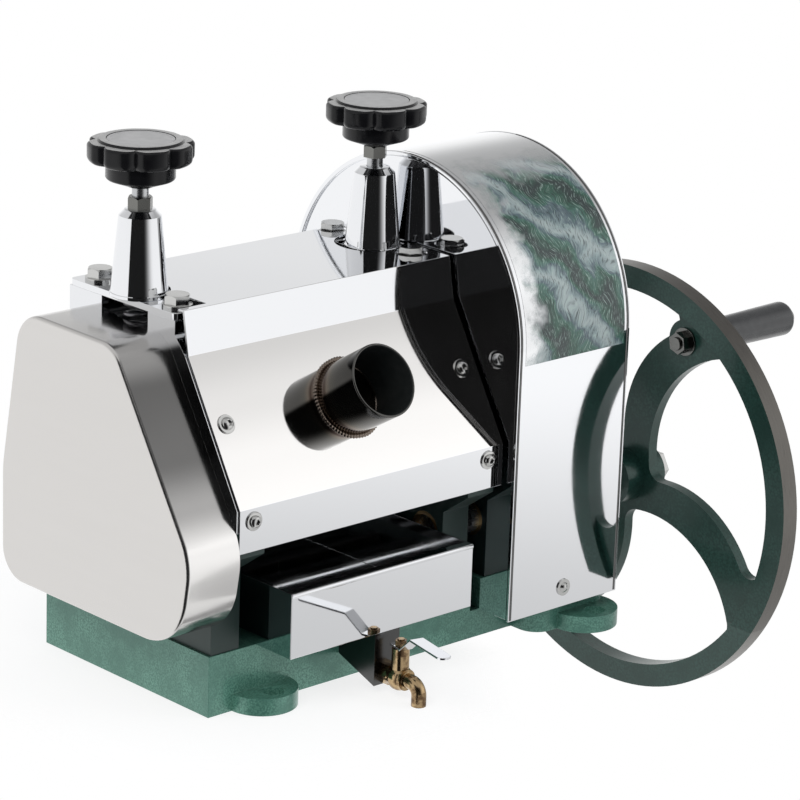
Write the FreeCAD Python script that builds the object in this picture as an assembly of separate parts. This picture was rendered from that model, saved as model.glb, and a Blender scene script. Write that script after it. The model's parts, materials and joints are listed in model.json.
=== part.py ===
import FreeCAD, Part
import math
import os

# Manual sugarcane juicer: three rollers between two cast frames, driven by a handwheel through
# a pinion and a large gear. All lengths are in millimetres.
# Stations are measured along X from the left end of the base, along Y from the base's front
# face (the operator's side is -Y) and along Z from the underside of the base.
# On export everything moves so that the origin is the middle of the base's underside.

os.makedirs("parts", exist_ok=True)

V = FreeCAD.Vector
X_AXIS = V(1, 0, 0)
Y_AXIS = V(0, 1, 0)
Z_AXIS = V(0, 0, 1)

# Base casting
base_length = 380.0
base_depth = 188.0
base_height = 46.0
base_wall = 9.0
base_rib = 8.0
main_box_length = 256.0
flange_height = 22.0
flange_start = 300.0
flange_front_overhang = 26.0
flange_corner_radius = 16.0
flange_wall = 10.0
lug_radius = 27.0
lug_thickness = 13.0
lug_hole_diameter = 16.0
lug_hole_offset = 13.0
left_lug_x = 49.0
right_lug_x = 351.0

# Frames, bearing caps and their bolts
left_frame_x = 2.2
frame_thickness = 26.0
right_frame_x = 225.0
frame_front_foot = 1.0
frame_top = 281.6
frame_top_front = 46.0
frame_top_rear = 165.0
frame_shoulder_z = 196.0
frame_rear_foot = 180.0
cap_thickness = 4.8
block_slot_width = 52.0
block_slot_bottom = 186.0
cap_bolt_offset = 43.5
cap_bolt_shift_x = 2.0
cap_bolt_diameter = 10.0
cap_bolt_flats = 17.0
cap_bolt_head = 7.0
cap_washer_diameter = 22.0
cap_washer_thickness = 2.0
cap_bolt_depth = 24.0
foot_bolt_diameter = 10.0
foot_bolt_length = 20.0
foot_bolt_inset = 30.0
foot_bolt_head = 7.0

# Screw towers, pressure screws and knobs
tower_y = 102.0
tower_height = 62.4
tower_chamfer_height = 4.0
tower_chamfer = 4.2
tower_bottom_radius = 21.4
tower_top_radius = 15.4
tower_bore_radius = 12.6
tower_roof = 21.0
tower_foot_height = 3.0
screw_diameter = 12.0
lock_nut_flats = 16.0
lock_nut_height = 9.0
lock_nut_gap = 0.1
knob_bottom_z = 365.0
knob_neck_radius = 10.0
knob_neck_height = 6.0
knob_hub_height = 17.5
knob_hub_radius = 24.8
knob_disc_height = 15.0
knob_radius = 38.0
knob_lobe_count = 8
knob_lobe_radius = 9.6
knob_edge_radius = 5.0
knob_plateau_radius = 30.3
knob_plateau_height = 2.0
knob_insert_radius = 24.2
knob_insert_recess = 1.4
knob_insert_drop = 0.3
screw_tip_below_roof = 6.0
screw_tip_gap = 0.05
seat_thickness = 5.0
spring_radius = 9.6
spring_wire = 3.4
spring_turns = 9

# Rollers, their shafts and bearings
top_roller_z = 220.0
roller_pitch_gap = 0.3
front_roller_dy = 56.0
rear_roller_dy = 32.0
roller_radius = 38.6
roller_flute_count = 24
roller_flute_depth = 1.6
roller_end_gap = 3.0
journal_radius = 15.0
gear_seat_radius = 12.5
bush_wall = 3.0
running_clearance = 0.05
block_width_clearance = 0.3
block_height = 54.0
block_lift = 4.0
key_width = 6.0
key_height = 5.0
clip_thickness = 1.5
clip_radius = 16.0

# Gears
roller_gear_module = 4.0
roller_gear_teeth = 20
roller_gear_width = 22.0
roller_gear_gap = 5.0
drive_module = 3.0
drive_gear_teeth = 70
pinion_teeth = 33
drive_gear_width = 20.0
drive_gear_x = 272.0
pinion_width = 24.0
drive_mesh_gap = 0.35
pressure_angle = 20.0
roller_gear_play = 1.2
drive_gear_play = 0.6
gear_rim = 9.0
gear_web = 8.0

# Drive shaft, handwheel and grip
drive_axis_y = 20.2
drive_shaft_radius = 11.0
drive_shaft_left_x = 229.0
drive_bush_wall = 3.0
bracket_x = 330.0
bracket_thickness = 24.0
bracket_foot_width = 84.0
bracket_boss_wall = 8.0
shaft_collar_radius = 18.0
shaft_collar_width = 8.0
wheel_x = 435.0
wheel_rim_width = 15.0
wheel_radius = 170.0
wheel_rim_inner = 152.0
wheel_web_recess = 5.0
wheel_web_thickness = 9.0
wheel_hub_radius = 21.0
wheel_hub_front = 12.0
wheel_hub_back = 14.0
wheel_window_count = 4
window_hub_corner = (28.0, 2.0)
window_lead_point = (35.0, 70.0)
window_trail_point = (86.0, -7.0)
window_lead_angle = 50.5
window_trail_angle = -27.0
window_corner_radius = 12.0
wheel_nut_flats = 24.0
wheel_nut_height = 10.0
wheel_washer_radius = 17.0
wheel_washer_thickness = 2.5
crank_radius = 134.0
crank_angle = 65.3
crank_pin_radius = 5.0
crank_nut_flats = 15.0
crank_nut_height = 8.0
crank_washer_radius = 11.0
crank_washer_thickness = 2.0
crank_boss_radius = 17.0
grip_length = 100.0
grip_radius = 12.0
grip_end_radius = 13.4
grip_gap = 1.0

# Front panel and its feed tube
panel_left_x = 3.8
panel_right_x = 257.6
panel_thickness = 1.5
panel_top = (38.6, 290.4)
panel_upper_bend = (32.9, 258.9)
panel_lower_bend = (-25.8, 161.0)
panel_bottom_z = 128.9
panel_cover_rear = 155.0
panel_cover_left = 29.0
tower_hole_radius = 28.5
tower_notch_gap = 1.0
panel_screw_radius = 2.5
panel_screw_head_radius = 4.5
panel_screw_head_height = 3.2
panel_washer_radius = 7.0
panel_washer_thickness = 1.2
panel_screw_length = 14.0
panel_screw_from_upper_bend = 52.5
panel_lower_screw_z = 151.5
panel_screw_left_x = 16.5
panel_screw_right_x = 242.5
feed_tube_x = 130.0
feed_tube_along = 54.0
feed_tube_length = 43.0
feed_tube_radius = 27.5
feed_tube_wall = 2.0
feed_weld_width = 4.0

# Rear guard with the outlet chute for the pressed cane
guard_gap = 0.3
guard_thickness = 1.5
chute_width = 150.0
chute_length = 60.0
chute_drop = 26.0
chute_opening_bottom = 168.0
chute_opening_top = 214.0
chute_side_height = 24.0
chute_side_end = 14.0
guard_slope_height = 40.0

# Trash plate between the rollers
trash_plate_gap = 1.5
trash_plate_stem = 10.0
trash_plate_drop = 38.0
trash_plate_rise = 20.0

# Gear cover on the left
left_cover_width = 45.0
left_cover_wall = 1.4
left_cover_edge_radius = 3.2
left_cover_corners = [
    (56.0, 269.5, 24.0),
    (-31.0, 134.0, 46.0),
    (-20.0, 65.0, 46.0),
    (183.5, 65.0, 24.0),
    (183.5, 150.0, 60.0),
    (163.0, 270.5, 27.0),
]
cover_ear_size = 14.0
cover_ear_reach = 24.0
cover_screw_radius = 2.0
cover_screw_head_radius = 4.0

# Arch cover over the drive gears
arch_left_x = 258.5
arch_width = 115.5
arch_center_y = 88.5
arch_center_z = 231.0
arch_radius = 126.6
arch_bottom_z = 23.6
arch_wall = 1.2
arch_bead = 2.0
arch_screw_x = 316.0
arch_screw_z = 39.0
arch_ear_width = 26.0
arch_shaft_hole_radius = 16.0
stud_radius = 2.5
stud_spacer_radius = 7.0
stud_head_radius = 5.0

# Juice tray, outlet and tap
tray_left_x = 42.0
tray_right_x = 218.0
tray_front_y = -39.0
tray_rear_y = 176.0
tray_height = 49.0
tray_wall = 1.2
tray_lip = 7.0
tray_gap = 0.3
outlet_left_x = 123.0
outlet_width = 24.0
outlet_wall = 1.5
outlet_back_gap = 0.5
outlet_back_depth = 26.0
outlet_front_depth = 40.0
tap_z = 15.0
tap_hex_flats = 15.0
tap_hex_length = 7.0
tap_shank_radius = 5.0
tap_body_radius = 8.0
tap_body_length = 15.0
tap_bore_radius = 3.2
tap_ball_radius = 5.0
tap_neck_radius = 6.5
tap_neck_height = 18.0
tap_stem_radius = 2.6
tap_nut_flats = 8.0
tap_nut_height = 4.0
tap_spout_radius = 5.5
tap_spout_run = 13.0
tap_spout_drop = 18.0
tap_spout_bend = 8.0
tap_lever_length = 66.0
tap_lever_width = 11.0
tap_lever_thickness = 1.6
tap_lever_flat = 7.0
tap_lever_step = 15.0
tap_lever_rise = 12.5
tap_lever_angle = 14.0

ORIGIN = V(base_length / 2, base_depth / 2, 0)
EXPORTED = []


def export(name, shape):
    """Write one named sub-part, moved so that the base's middle is the origin."""
    placed = shape.copy()
    placed.translate(V(-ORIGIN.x, -ORIGIN.y, -ORIGIN.z))
    placed.exportStep("parts/%s.step" % name)
    EXPORTED.append(name)
    print("%-26s solids %d  volume %.0f" % (name, len(placed.Solids), placed.Volume))


def box(x0, x1, y0, y1, z0, z1):
    return Part.makeBox(x1 - x0, y1 - y0, z1 - z0, V(x0, y0, z0))


def rod_x(x0, x1, y, z, radius):
    return Part.makeCylinder(radius, x1 - x0, V(x0, y, z), X_AXIS)


def rod_y(y0, y1, x, z, radius):
    return Part.makeCylinder(radius, y1 - y0, V(x, y0, z), Y_AXIS)


def rod_z(z0, z1, x, y, radius):
    return Part.makeCylinder(radius, z1 - z0, V(x, y, z0), Z_AXIS)


def ring_x(x0, x1, y, z, outer, inner):
    return rod_x(x0, x1, y, z, outer).cut(rod_x(x0 - 1, x1 + 1, y, z, inner))


def ring_z(z0, z1, x, y, outer, inner):
    return rod_z(z0, z1, x, y, outer).cut(rod_z(z0 - 1, z1 + 1, x, y, inner))


def prism_x(points, x0, x1):
    """A prism along X over a polygon of (y, z) corners."""
    corners = [V(x0, y, z) for y, z in points]
    wire = Part.makePolygon(corners + [corners[0]])
    return Part.Face(wire).extrude(V(x1 - x0, 0, 0))


def hex_prism(flats, height, base, direction, turn=0.0):
    """A hexagonal bar of a given width across flats."""
    direction = V(direction).normalize()
    helper = Z_AXIS if abs(direction.z) < 0.9 else X_AXIS
    side = direction.cross(helper).normalize()
    up = direction.cross(side)
    radius = flats / math.sqrt(3)
    corners = []
    for i in range(6):
        angle = math.radians(60 * i + turn)
        corners.append(base + side * (radius * math.cos(angle)) + up * (radius * math.sin(angle)))
    wire = Part.makePolygon(corners + [corners[0]])
    return Part.Face(wire).extrude(direction * height)


def bevelled_hex(flats, height, base, turn=0.0):
    """An upright hexagon whose top corners are turned off to the width across flats."""
    corner_radius = flats / math.sqrt(3)
    low = height - (corner_radius - flats / 2)
    crown = Part.makeCone(corner_radius, flats / 2, height - low, base + V(0, 0, low), Z_AXIS)
    crown = crown.fuse(Part.makeCylinder(corner_radius + 1, low, base, Z_AXIS))
    return hex_prism(flats, height, base, Z_AXIS, turn).common(crown)


def rounded_wire_x(corners, x, inset=0.0):
    """A closed outline of (y, z, radius) corners at station x, moved inwards by inset."""
    count = len(corners)
    middle_y = sum(c[0] for c in corners) / count
    middle_z = sum(c[1] for c in corners) / count
    lines = []
    for i in range(count):
        ay, az, _ = corners[i]
        by, bz, _ = corners[(i + 1) % count]
        length = math.hypot(by - ay, bz - az)
        normal_y, normal_z = -(bz - az) / length, (by - ay) / length
        if normal_y * (middle_y - ay) + normal_z * (middle_z - az) < 0:
            normal_y, normal_z = -normal_y, -normal_z
        lines.append((ay + normal_y * inset, az + normal_z * inset, by - ay, bz - az))
    points = []
    for i in range(count):
        ay, az, ady, adz = lines[i - 1]
        by, bz, bdy, bdz = lines[i]
        cross = ady * bdz - adz * bdy
        along = ((by - ay) * bdz - (bz - az) * bdy) / cross
        points.append((ay + ady * along, az + adz * along, max(corners[i][2] - inset, 0.5)))
    edges = []
    tangents = []
    for i in range(count):
        py, pz, radius = points[i]
        ay, az, _ = points[i - 1]
        by, bz, _ = points[(i + 1) % count]
        to_a = V(0, ay - py, az - pz).normalize()
        to_b = V(0, by - py, bz - pz).normalize()
        half = to_a.getAngle(to_b) / 2
        reach = radius / math.tan(half)
        corner = V(x, py, pz)
        middle = (to_a + to_b).normalize()
        start = corner + to_a * reach
        end = corner + to_b * reach
        crown = corner + middle * (radius / math.sin(half) - radius)
        tangents.append((start, crown, end))
    for i in range(count):
        start, crown, end = tangents[i]
        edges.append(Part.Arc(start, crown, end).toShape())
        edges.append(Part.LineSegment(end, tangents[(i + 1) % count][0]).toShape())
    return Part.Wire(edges)


def rounded_prism_x(corners, x0, x1, inset=0.0):
    return Part.Face(rounded_wire_x(corners, x0, inset)).extrude(V(x1 - x0, 0, 0))


def involute_points(base_radius, root_radius, tip_radius, half_angle, steps=4):
    """One flank from root to tip as (radius, angle from the tooth's middle)."""
    points = []
    if root_radius < base_radius:
        points.append((root_radius, half_angle))
    start = max(base_radius, root_radius)
    for i in range(steps + 1):
        radius = start + (tip_radius - start) * i / steps
        roll = math.sqrt(max((radius / base_radius) ** 2 - 1, 0.0))
        points.append((radius, half_angle - (roll - math.atan(roll))))
    return points


def gear_blank(x0, x1, y, z, module, teeth, tooth_angle, play):
    """A spur gear along X with one tooth's middle at tooth_angle, counted from +Y towards +Z.

    Its teeth are thinner than half the pitch by play."""
    pitch_radius = module * teeth / 2
    base_radius = pitch_radius * math.cos(math.radians(pressure_angle))
    tip_radius = pitch_radius + module
    root_radius = pitch_radius - 1.25 * module
    roll = math.tan(math.radians(pressure_angle)) - math.radians(pressure_angle)
    half = (math.pi * module / 2 - play) / (2 * pitch_radius) + roll
    flank = involute_points(base_radius, root_radius, tip_radius, half)
    corners = []
    for i in range(teeth):
        middle = math.radians(tooth_angle) + 2 * math.pi * i / teeth
        for radius, angle in flank:
            corners.append((radius, middle - angle))
        for radius, angle in reversed(flank):
            corners.append((radius, middle + angle))
    outline = [(y + r * math.cos(a), z + r * math.sin(a)) for r, a in corners]
    return prism_x(outline, x0, x1)


def meshing_angle(angle_between, driver_tooth, driver_teeth, follower_teeth):
    """Tooth angle of the follower that sets its gap against the driver's tooth, in degrees."""
    offset = (driver_tooth - angle_between) * driver_teeth / follower_teeth
    return angle_between + 180 - offset + 180 / follower_teeth


def key_bar(x0, x1, y, z, seat_radius):
    """A square key, half sunk in the top of its shaft."""
    low = z + seat_radius - key_height / 2
    return box(x0, x1, y - key_width / 2, y + key_width / 2, low, low + key_height)


def coil_spring(x, y, z0, z1, radius, wire, turns, flat):
    """A round-wire spring along Z with ground ends, swept along quarter-turn biarcs."""
    quarter = 4
    count = turns * quarter
    low = z0 + wire / 2 - flat
    high = z1 - wire / 2 + flat
    rise = (high - low) / count
    edges = []
    points = []
    for i in range(count * 2 + 1):
        angle = math.pi / 2 * i / 2
        points.append(V(x + radius * math.cos(angle), y + radius * math.sin(angle), low + rise * i / 2))
    for i in range(count):
        edges.append(Part.Arc(points[2 * i], points[2 * i + 1], points[2 * i + 2]).toShape())
    path = Part.Wire(edges)
    tangent = V(0, radius, rise * 2 / math.pi)
    section = Part.Wire([Part.makeCircle(wire / 2, points[0], tangent)])
    sweep = Part.BRepOffsetAPI.MakePipeShell(path)
    sweep.add(section)
    sweep.build()
    sweep.makeSolid()
    spring = sweep.shape()
    span = radius + wire
    keep = box(x - span, x + span, y - span, y + span, z0, z1)
    return spring.common(keep)


# Stations worked out from the driving sizes
right_frame_end_x = right_frame_x + frame_thickness
left_frame_end_x = left_frame_x + frame_thickness
cap_top = frame_top + cap_thickness
left_tower_x = left_frame_x + frame_thickness / 2
right_tower_x = right_frame_x + frame_thickness / 2
cap_middle_y = (frame_top_front + frame_top_rear) / 2
knob_disc_z = knob_bottom_z + knob_hub_height
knob_disc_top_z = knob_disc_z + knob_disc_height
knob_top_z = knob_disc_top_z + knob_plateau_height
tower_top = cap_top + tower_height
roller_center_distance = roller_gear_module * roller_gear_teeth + roller_pitch_gap
front_roller_y = tower_y - front_roller_dy
front_roller_z = top_roller_z - math.sqrt(roller_center_distance ** 2 - front_roller_dy ** 2)
rear_roller_y = tower_y + rear_roller_dy
rear_roller_z = top_roller_z - math.sqrt(roller_center_distance ** 2 - rear_roller_dy ** 2)
drive_center_distance = drive_module * (drive_gear_teeth + pinion_teeth) / 2 + drive_mesh_gap
drive_axis_z = top_roller_z - math.sqrt(drive_center_distance ** 2 - (tower_y - drive_axis_y) ** 2)
roller_left_x = left_frame_end_x + roller_end_gap
roller_right_x = right_frame_x - roller_end_gap
roller_gear_right_x = left_frame_x - roller_gear_gap
roller_gear_left_x = roller_gear_right_x - roller_gear_width
arch_right_x = arch_left_x + arch_width
arch_front_y = arch_center_y - arch_radius
arch_rear_y = arch_center_y + arch_radius
left_cover_x = -left_cover_width
bush_radius = journal_radius + running_clearance + bush_wall
drive_bush_radius = drive_shaft_radius + running_clearance + drive_bush_wall
panel_slope = math.atan2(panel_upper_bend[0] - panel_lower_bend[0], panel_upper_bend[1] - panel_lower_bend[1])
panel_down = V(0, -math.sin(panel_slope), -math.cos(panel_slope))
panel_out = V(0, -math.cos(panel_slope), math.sin(panel_slope))
seat_top_z = tower_top - tower_roof - screw_tip_below_roof
seat_bottom_z = seat_top_z - seat_thickness


def panel_point(x, along, out=0.0):
    """A point on the panel's sloping face, along its slope from the upper bend."""
    start = V(x, panel_upper_bend[0], panel_upper_bend[1])
    return start + panel_down * along + panel_out * out


def panel_profile(offset):
    """The folded sheet's outline in (y, z), moved back from its outer face by offset."""
    half_top = math.atan2(panel_top[0] - panel_upper_bend[0], panel_top[1] - panel_upper_bend[1])
    upper_turn = (half_top + panel_slope) / 2
    lower_turn = panel_slope / 2
    upper_shift = offset / math.cos((panel_slope - half_top) / 2)
    lower_shift = offset / math.cos(panel_slope / 2)
    return [
        (panel_top[0] + offset * math.cos(half_top), panel_top[1] - offset * math.sin(half_top)),
        (
            panel_upper_bend[0] + upper_shift * math.cos(upper_turn),
            panel_upper_bend[1] - upper_shift * math.sin(upper_turn),
        ),
        (
            panel_lower_bend[0] + lower_shift * math.cos(lower_turn),
            panel_lower_bend[1] - lower_shift * math.sin(lower_turn),
        ),
        (panel_lower_bend[0] + offset, panel_bottom_z),
    ]


def make_base():
    main = box(0, main_box_length, 0, base_depth, 0, base_height)
    flange_front = -flange_front_overhang
    flange_rear = base_depth + flange_front_overhang
    flange = box(flange_start, base_length, flange_front, flange_rear, 0, flange_height)
    corners = []
    for edge in flange.Edges:
        if abs(edge.tangentAt(edge.FirstParameter).z) > 0.9:
            corners.append(edge)
    flange = flange.makeFillet(flange_corner_radius, corners)
    bridge = box(main_box_length - 1, flange_start + flange_corner_radius + 1, 0, base_depth, 0, flange_height)
    casting = main.fuse([flange, bridge])
    for lug_x, front, rear in (
        (left_lug_x, 0, base_depth),
        (right_lug_x, flange_front, flange_rear),
    ):
        casting = casting.fuse(rod_z(0, lug_thickness, lug_x, front, lug_radius))
        casting = casting.fuse(rod_z(0, lug_thickness, lug_x, rear, lug_radius))
    top_skin = base_wall
    inner = box(base_wall, main_box_length - base_wall, base_wall, base_depth - base_wall, -1, base_height - top_skin)
    pocket = box(
        main_box_length + flange_wall / 2, base_length - flange_wall,
        flange_wall, base_depth - flange_wall, -1, flange_height - flange_wall,
    )
    casting = casting.cut([inner, pocket])
    rib_y = base_depth / 2
    rib_x = base_length / 2
    long_rib = box(1, base_length - 1, rib_y - base_rib / 2, rib_y + base_rib / 2, 0, flange_height - 1)
    cross_rib = box(rib_x - base_rib / 2, rib_x + base_rib / 2, 1, base_depth - 1, 0, flange_height - 1)
    casting = casting.fuse([long_rib, cross_rib])
    for lug_x, front, rear in (
        (left_lug_x, -lug_hole_offset, base_depth + lug_hole_offset),
        (right_lug_x, flange_front - lug_hole_offset, flange_rear + lug_hole_offset),
    ):
        for hole_y in (front, rear):
            casting = casting.cut(rod_z(-1, lug_thickness + 30, lug_x, hole_y, lug_hole_diameter / 2))
    ear_reach = arch_wall
    for ear_front, ear_rear in (
        (arch_front_y + ear_reach, flange_front + flange_wall),
        (flange_rear - flange_wall, arch_rear_y - ear_reach),
    ):
        ear = box(
            arch_screw_x - arch_ear_width / 2, arch_screw_x + arch_ear_width / 2,
            ear_front, ear_rear, arch_bottom_z + guard_gap, arch_screw_z + arch_ear_width / 2,
        )
        root_front = max(ear_front, flange_front + 1)
        root_rear = min(ear_rear, flange_rear - 1)
        root = box(
            arch_screw_x - arch_ear_width / 2, arch_screw_x + arch_ear_width / 2,
            root_front, root_rear, flange_height - 1, arch_bottom_z + 1,
        )
        ear = ear.fuse(root)
        ear = ear.cut(rod_y(ear_front - 1, ear_rear + 1, arch_screw_x, arch_screw_z, cover_screw_radius + 0.3))
        casting = casting.fuse(ear)
    for bolt_x in (left_tower_x, right_tower_x):
        for bolt_y in foot_bolt_places():
            casting = casting.cut(rod_z(-1, base_height + 1, bolt_x, bolt_y, foot_bolt_diameter / 2 + 0.3))
    for bolt_y in bracket_bolt_places():
        casting = casting.cut(
            rod_z(-1, flange_height + 1, bracket_x + bracket_thickness / 2, bolt_y, foot_bolt_diameter / 2 + 0.3)
        )
    return casting.removeSplitter()


def foot_bolt_places():
    return (frame_front_foot + foot_bolt_inset, frame_rear_foot - foot_bolt_inset)


def bracket_bolt_places():
    reach = bracket_foot_width / 2 - 12
    middle = drive_axis_y + 16
    return (middle - reach, middle + reach)


def make_frame(x0):
    inner_sheet = panel_profile(panel_thickness)
    lower_y = inner_sheet[3][0]
    front = [
        (frame_front_foot, base_height),
        (frame_front_foot, panel_bottom_z - 22),
        (lower_y, panel_bottom_z - 4),
        (lower_y, inner_sheet[2][1]),
        inner_sheet[1],
        (frame_top_front, frame_top - 10),
        (frame_top_front, frame_top),
    ]
    rear = [
        (frame_top_rear, frame_top),
        (frame_top_rear, frame_shoulder_z),
        (frame_rear_foot, frame_shoulder_z - guard_slope_height),
        (frame_rear_foot, base_height),
    ]
    x1 = x0 + frame_thickness
    frame = prism_x(front + rear, x0, x1)
    slot = box(
        x0 - 1, x1 + 1, tower_y - block_slot_width / 2, tower_y + block_slot_width / 2,
        block_slot_bottom, frame_top + 1,
    )
    frame = frame.cut(slot)
    for y, z in ((front_roller_y, front_roller_z), (rear_roller_y, rear_roller_z)):
        frame = frame.cut(rod_x(x0 - 1, x1 + 1, y, z, bush_radius))
    tower_x = x0 + frame_thickness / 2
    for bolt_x, bolt_y in cap_bolt_places(tower_x):
        hole = rod_z(frame_top - cap_bolt_depth - 2, frame_top + 1, bolt_x, bolt_y, cap_bolt_diameter / 2 + 0.3)
        frame = frame.cut(hole)
    for bolt_y in foot_bolt_places():
        frame = frame.cut(
            rod_z(base_height - 1, base_height + foot_bolt_length, tower_x, bolt_y, foot_bolt_diameter / 2 + 0.3)
        )
    return frame


def make_cap(x0):
    x1 = x0 + frame_thickness
    cap = box(x0, x1, frame_top_front, frame_top_rear, frame_top, cap_top)
    uprights = [edge for edge in cap.Edges if abs(edge.tangentAt(edge.FirstParameter).z) > 0.9]
    cap = cap.makeFillet(4, uprights)
    tower_x = x0 + frame_thickness / 2
    cap = cap.cut(rod_z(frame_top - 1, cap_top + 1, tower_x, tower_y, tower_bore_radius))
    for bolt_x, bolt_y in cap_bolt_places(tower_x):
        cap = cap.cut(rod_z(frame_top - 1, cap_top + 1, bolt_x, bolt_y, cap_bolt_diameter / 2 + 0.3))
    return cap


def cap_bolt_places(tower_x):
    """The two bolts of a cap, one at each end, a little to the right of the tower."""
    x = tower_x + cap_bolt_shift_x
    return ((x, cap_middle_y - cap_bolt_offset), (x, cap_middle_y + cap_bolt_offset))


def make_cap_bolts():
    pieces = []
    for bolt_x, bolt_y in cap_bolt_places(left_tower_x) + cap_bolt_places(right_tower_x):
        washer_top = cap_top + cap_washer_thickness
        washer = ring_z(cap_top, washer_top, bolt_x, bolt_y, cap_washer_diameter / 2, cap_bolt_diameter / 2 + 0.2)
        head = bevelled_hex(cap_bolt_flats, cap_bolt_head, V(bolt_x, bolt_y, washer_top), 15)
        shank = rod_z(cap_top - cap_bolt_depth, washer_top + 1, bolt_x, bolt_y, cap_bolt_diameter / 2)
        pieces.append(head.fuse(shank))
        pieces.append(washer)
    return Part.makeCompound(pieces)


def make_foot_bolts():
    """Bolts that come up through the base's top into each frame."""
    pieces = []
    under = base_height - base_wall
    for bolt_x in (left_tower_x, right_tower_x):
        for bolt_y in foot_bolt_places():
            head = rod_z(under - foot_bolt_head, under, bolt_x, bolt_y, foot_bolt_diameter / 2 + 0.8)
            shank = rod_z(under - 1, under + base_wall + foot_bolt_length - 2, bolt_x, bolt_y, foot_bolt_diameter / 2)
            pieces.append(head.fuse(shank))
    return Part.makeCompound(pieces)


def make_tower(x):
    side_top = tower_top - tower_chamfer_height
    cone = Part.makeCone(tower_bottom_radius, tower_top_radius, side_top - cap_top, V(x, tower_y, cap_top), Z_AXIS)
    shoulder = Part.makeCone(
        tower_top_radius, tower_top_radius - tower_chamfer, tower_chamfer_height, V(x, tower_y, side_top), Z_AXIS
    )
    foot = rod_z(cap_top, cap_top + tower_foot_height, x, tower_y, tower_bottom_radius)
    tower = cone.fuse([shoulder, foot])
    spring_room = rod_z(cap_top - 1, tower_top - tower_roof, x, tower_y, tower_bore_radius)
    thread = rod_z(cap_top, tower_top + 1, x, tower_y, screw_diameter / 2 + running_clearance)
    return tower.cut([spring_room, thread])


def make_lock_nut(x, z, bore):
    nut = bevelled_hex(lock_nut_flats, lock_nut_height, V(x, tower_y, z), 10)
    return nut.cut(rod_z(z - 1, z + lock_nut_height + 1, x, tower_y, bore))


def make_pressure_screw(x):
    return rod_z(seat_top_z, knob_disc_z, x, tower_y, screw_diameter / 2)


def rounded_disc(x, z0, z1, radius, edge):
    """A disc with its two rims rounded."""
    turn = edge * (1 - math.sqrt(0.5))
    rim = x + radius
    edges = [
        Part.LineSegment(V(x, tower_y, z0), V(rim - edge, tower_y, z0)).toShape(),
        Part.Arc(V(rim - edge, tower_y, z0), V(rim - turn, tower_y, z0 + turn), V(rim, tower_y, z0 + edge)).toShape(),
        Part.LineSegment(V(rim, tower_y, z0 + edge), V(rim, tower_y, z1 - edge)).toShape(),
        Part.Arc(V(rim, tower_y, z1 - edge), V(rim - turn, tower_y, z1 - turn), V(rim - edge, tower_y, z1)).toShape(),
        Part.LineSegment(V(rim - edge, tower_y, z1), V(x, tower_y, z1)).toShape(),
        Part.LineSegment(V(x, tower_y, z1), V(x, tower_y, z0)).toShape(),
    ]
    return Part.Face(Part.Wire(edges)).revolve(V(x, tower_y, 0), Z_AXIS, 360)


def make_knob(x):
    """A lobed knob: neck, stepped hub, a disc whose rim is cut back between the lobes, and a low plateau."""
    ring = knob_radius - knob_lobe_radius
    disc = rod_z(knob_disc_z, knob_disc_top_z, x, tower_y, ring + knob_lobe_radius * 0.45)
    lobes = []
    for i in range(knob_lobe_count):
        angle = math.radians(360 / knob_lobe_count * (i + 0.5))
        lobes.append(rod_z(
            knob_disc_z, knob_disc_top_z, x + ring * math.cos(angle), tower_y + ring * math.sin(angle), knob_lobe_radius
        ))
    lobed = disc.fuse(lobes).removeSplitter()
    knob = lobed.common(rounded_disc(x, knob_disc_z, knob_disc_top_z, knob_radius, knob_edge_radius))
    neck = Part.makeCone(
        knob_neck_radius, knob_hub_radius, knob_neck_height, V(x, tower_y, knob_bottom_z), Z_AXIS
    )
    hub = rod_z(knob_bottom_z + knob_neck_height, knob_disc_z + 1, x, tower_y, knob_hub_radius)
    plateau = Part.makeCone(
        knob_plateau_radius, knob_plateau_radius - 1, knob_plateau_height, V(x, tower_y, knob_disc_top_z), Z_AXIS
    )
    knob = knob.fuse([neck, hub, plateau])
    knob = knob.cut(rod_z(knob_bottom_z - 1, knob_disc_z, x, tower_y, screw_diameter / 2))
    return knob.cut(rod_z(knob_top_z - knob_insert_recess, knob_top_z + 1, x, tower_y, knob_insert_radius))


def make_knob_insert(x):
    return rod_z(
        knob_top_z - knob_insert_recess, knob_top_z - knob_insert_drop, x, tower_y, knob_insert_radius - 0.1
    )


def make_spring_seat(x):
    return rod_z(seat_bottom_z, seat_top_z - screw_tip_gap, x, tower_y, tower_bore_radius - 0.3)


block_top_z = block_slot_bottom + 4 + block_height


def make_bearing_block(x0):
    x1 = x0 + frame_thickness
    half = block_slot_width / 2 - block_width_clearance
    block = box(x0, x1, tower_y - half, tower_y + half, block_slot_bottom + guard_gap, block_top_z)
    block = block.cut(rod_x(x0 - 1, x1 + 1, tower_y, top_roller_z, bush_radius))
    tower_x = x0 + frame_thickness / 2
    stem = rod_z(block_top_z - 1, block_top_z + 4, tower_x, tower_y, spring_radius - spring_wire / 2 - 0.6)
    return block.fuse(stem)


def make_bush(x0, y, z, outer=bush_radius, shaft=journal_radius, length=frame_thickness):
    return ring_x(x0, x0 + length, y, z, outer, shaft + running_clearance)


def fluted_roller(y, z):
    """The roller's body: a cylinder with shallow flutes along its length."""
    body = rod_x(roller_left_x, roller_right_x, y, z, roller_radius)
    cutters = []
    for i in range(roller_flute_count):
        angle = 2 * math.pi * i / roller_flute_count
        radius = roller_radius + roller_flute_depth
        cutters.append(
            rod_x(
                roller_left_x - 1, roller_right_x + 1, y + radius * math.cos(angle),
                z + radius * math.sin(angle), roller_flute_depth * 2,
            )
        )
    return body.cut(cutters)


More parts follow.
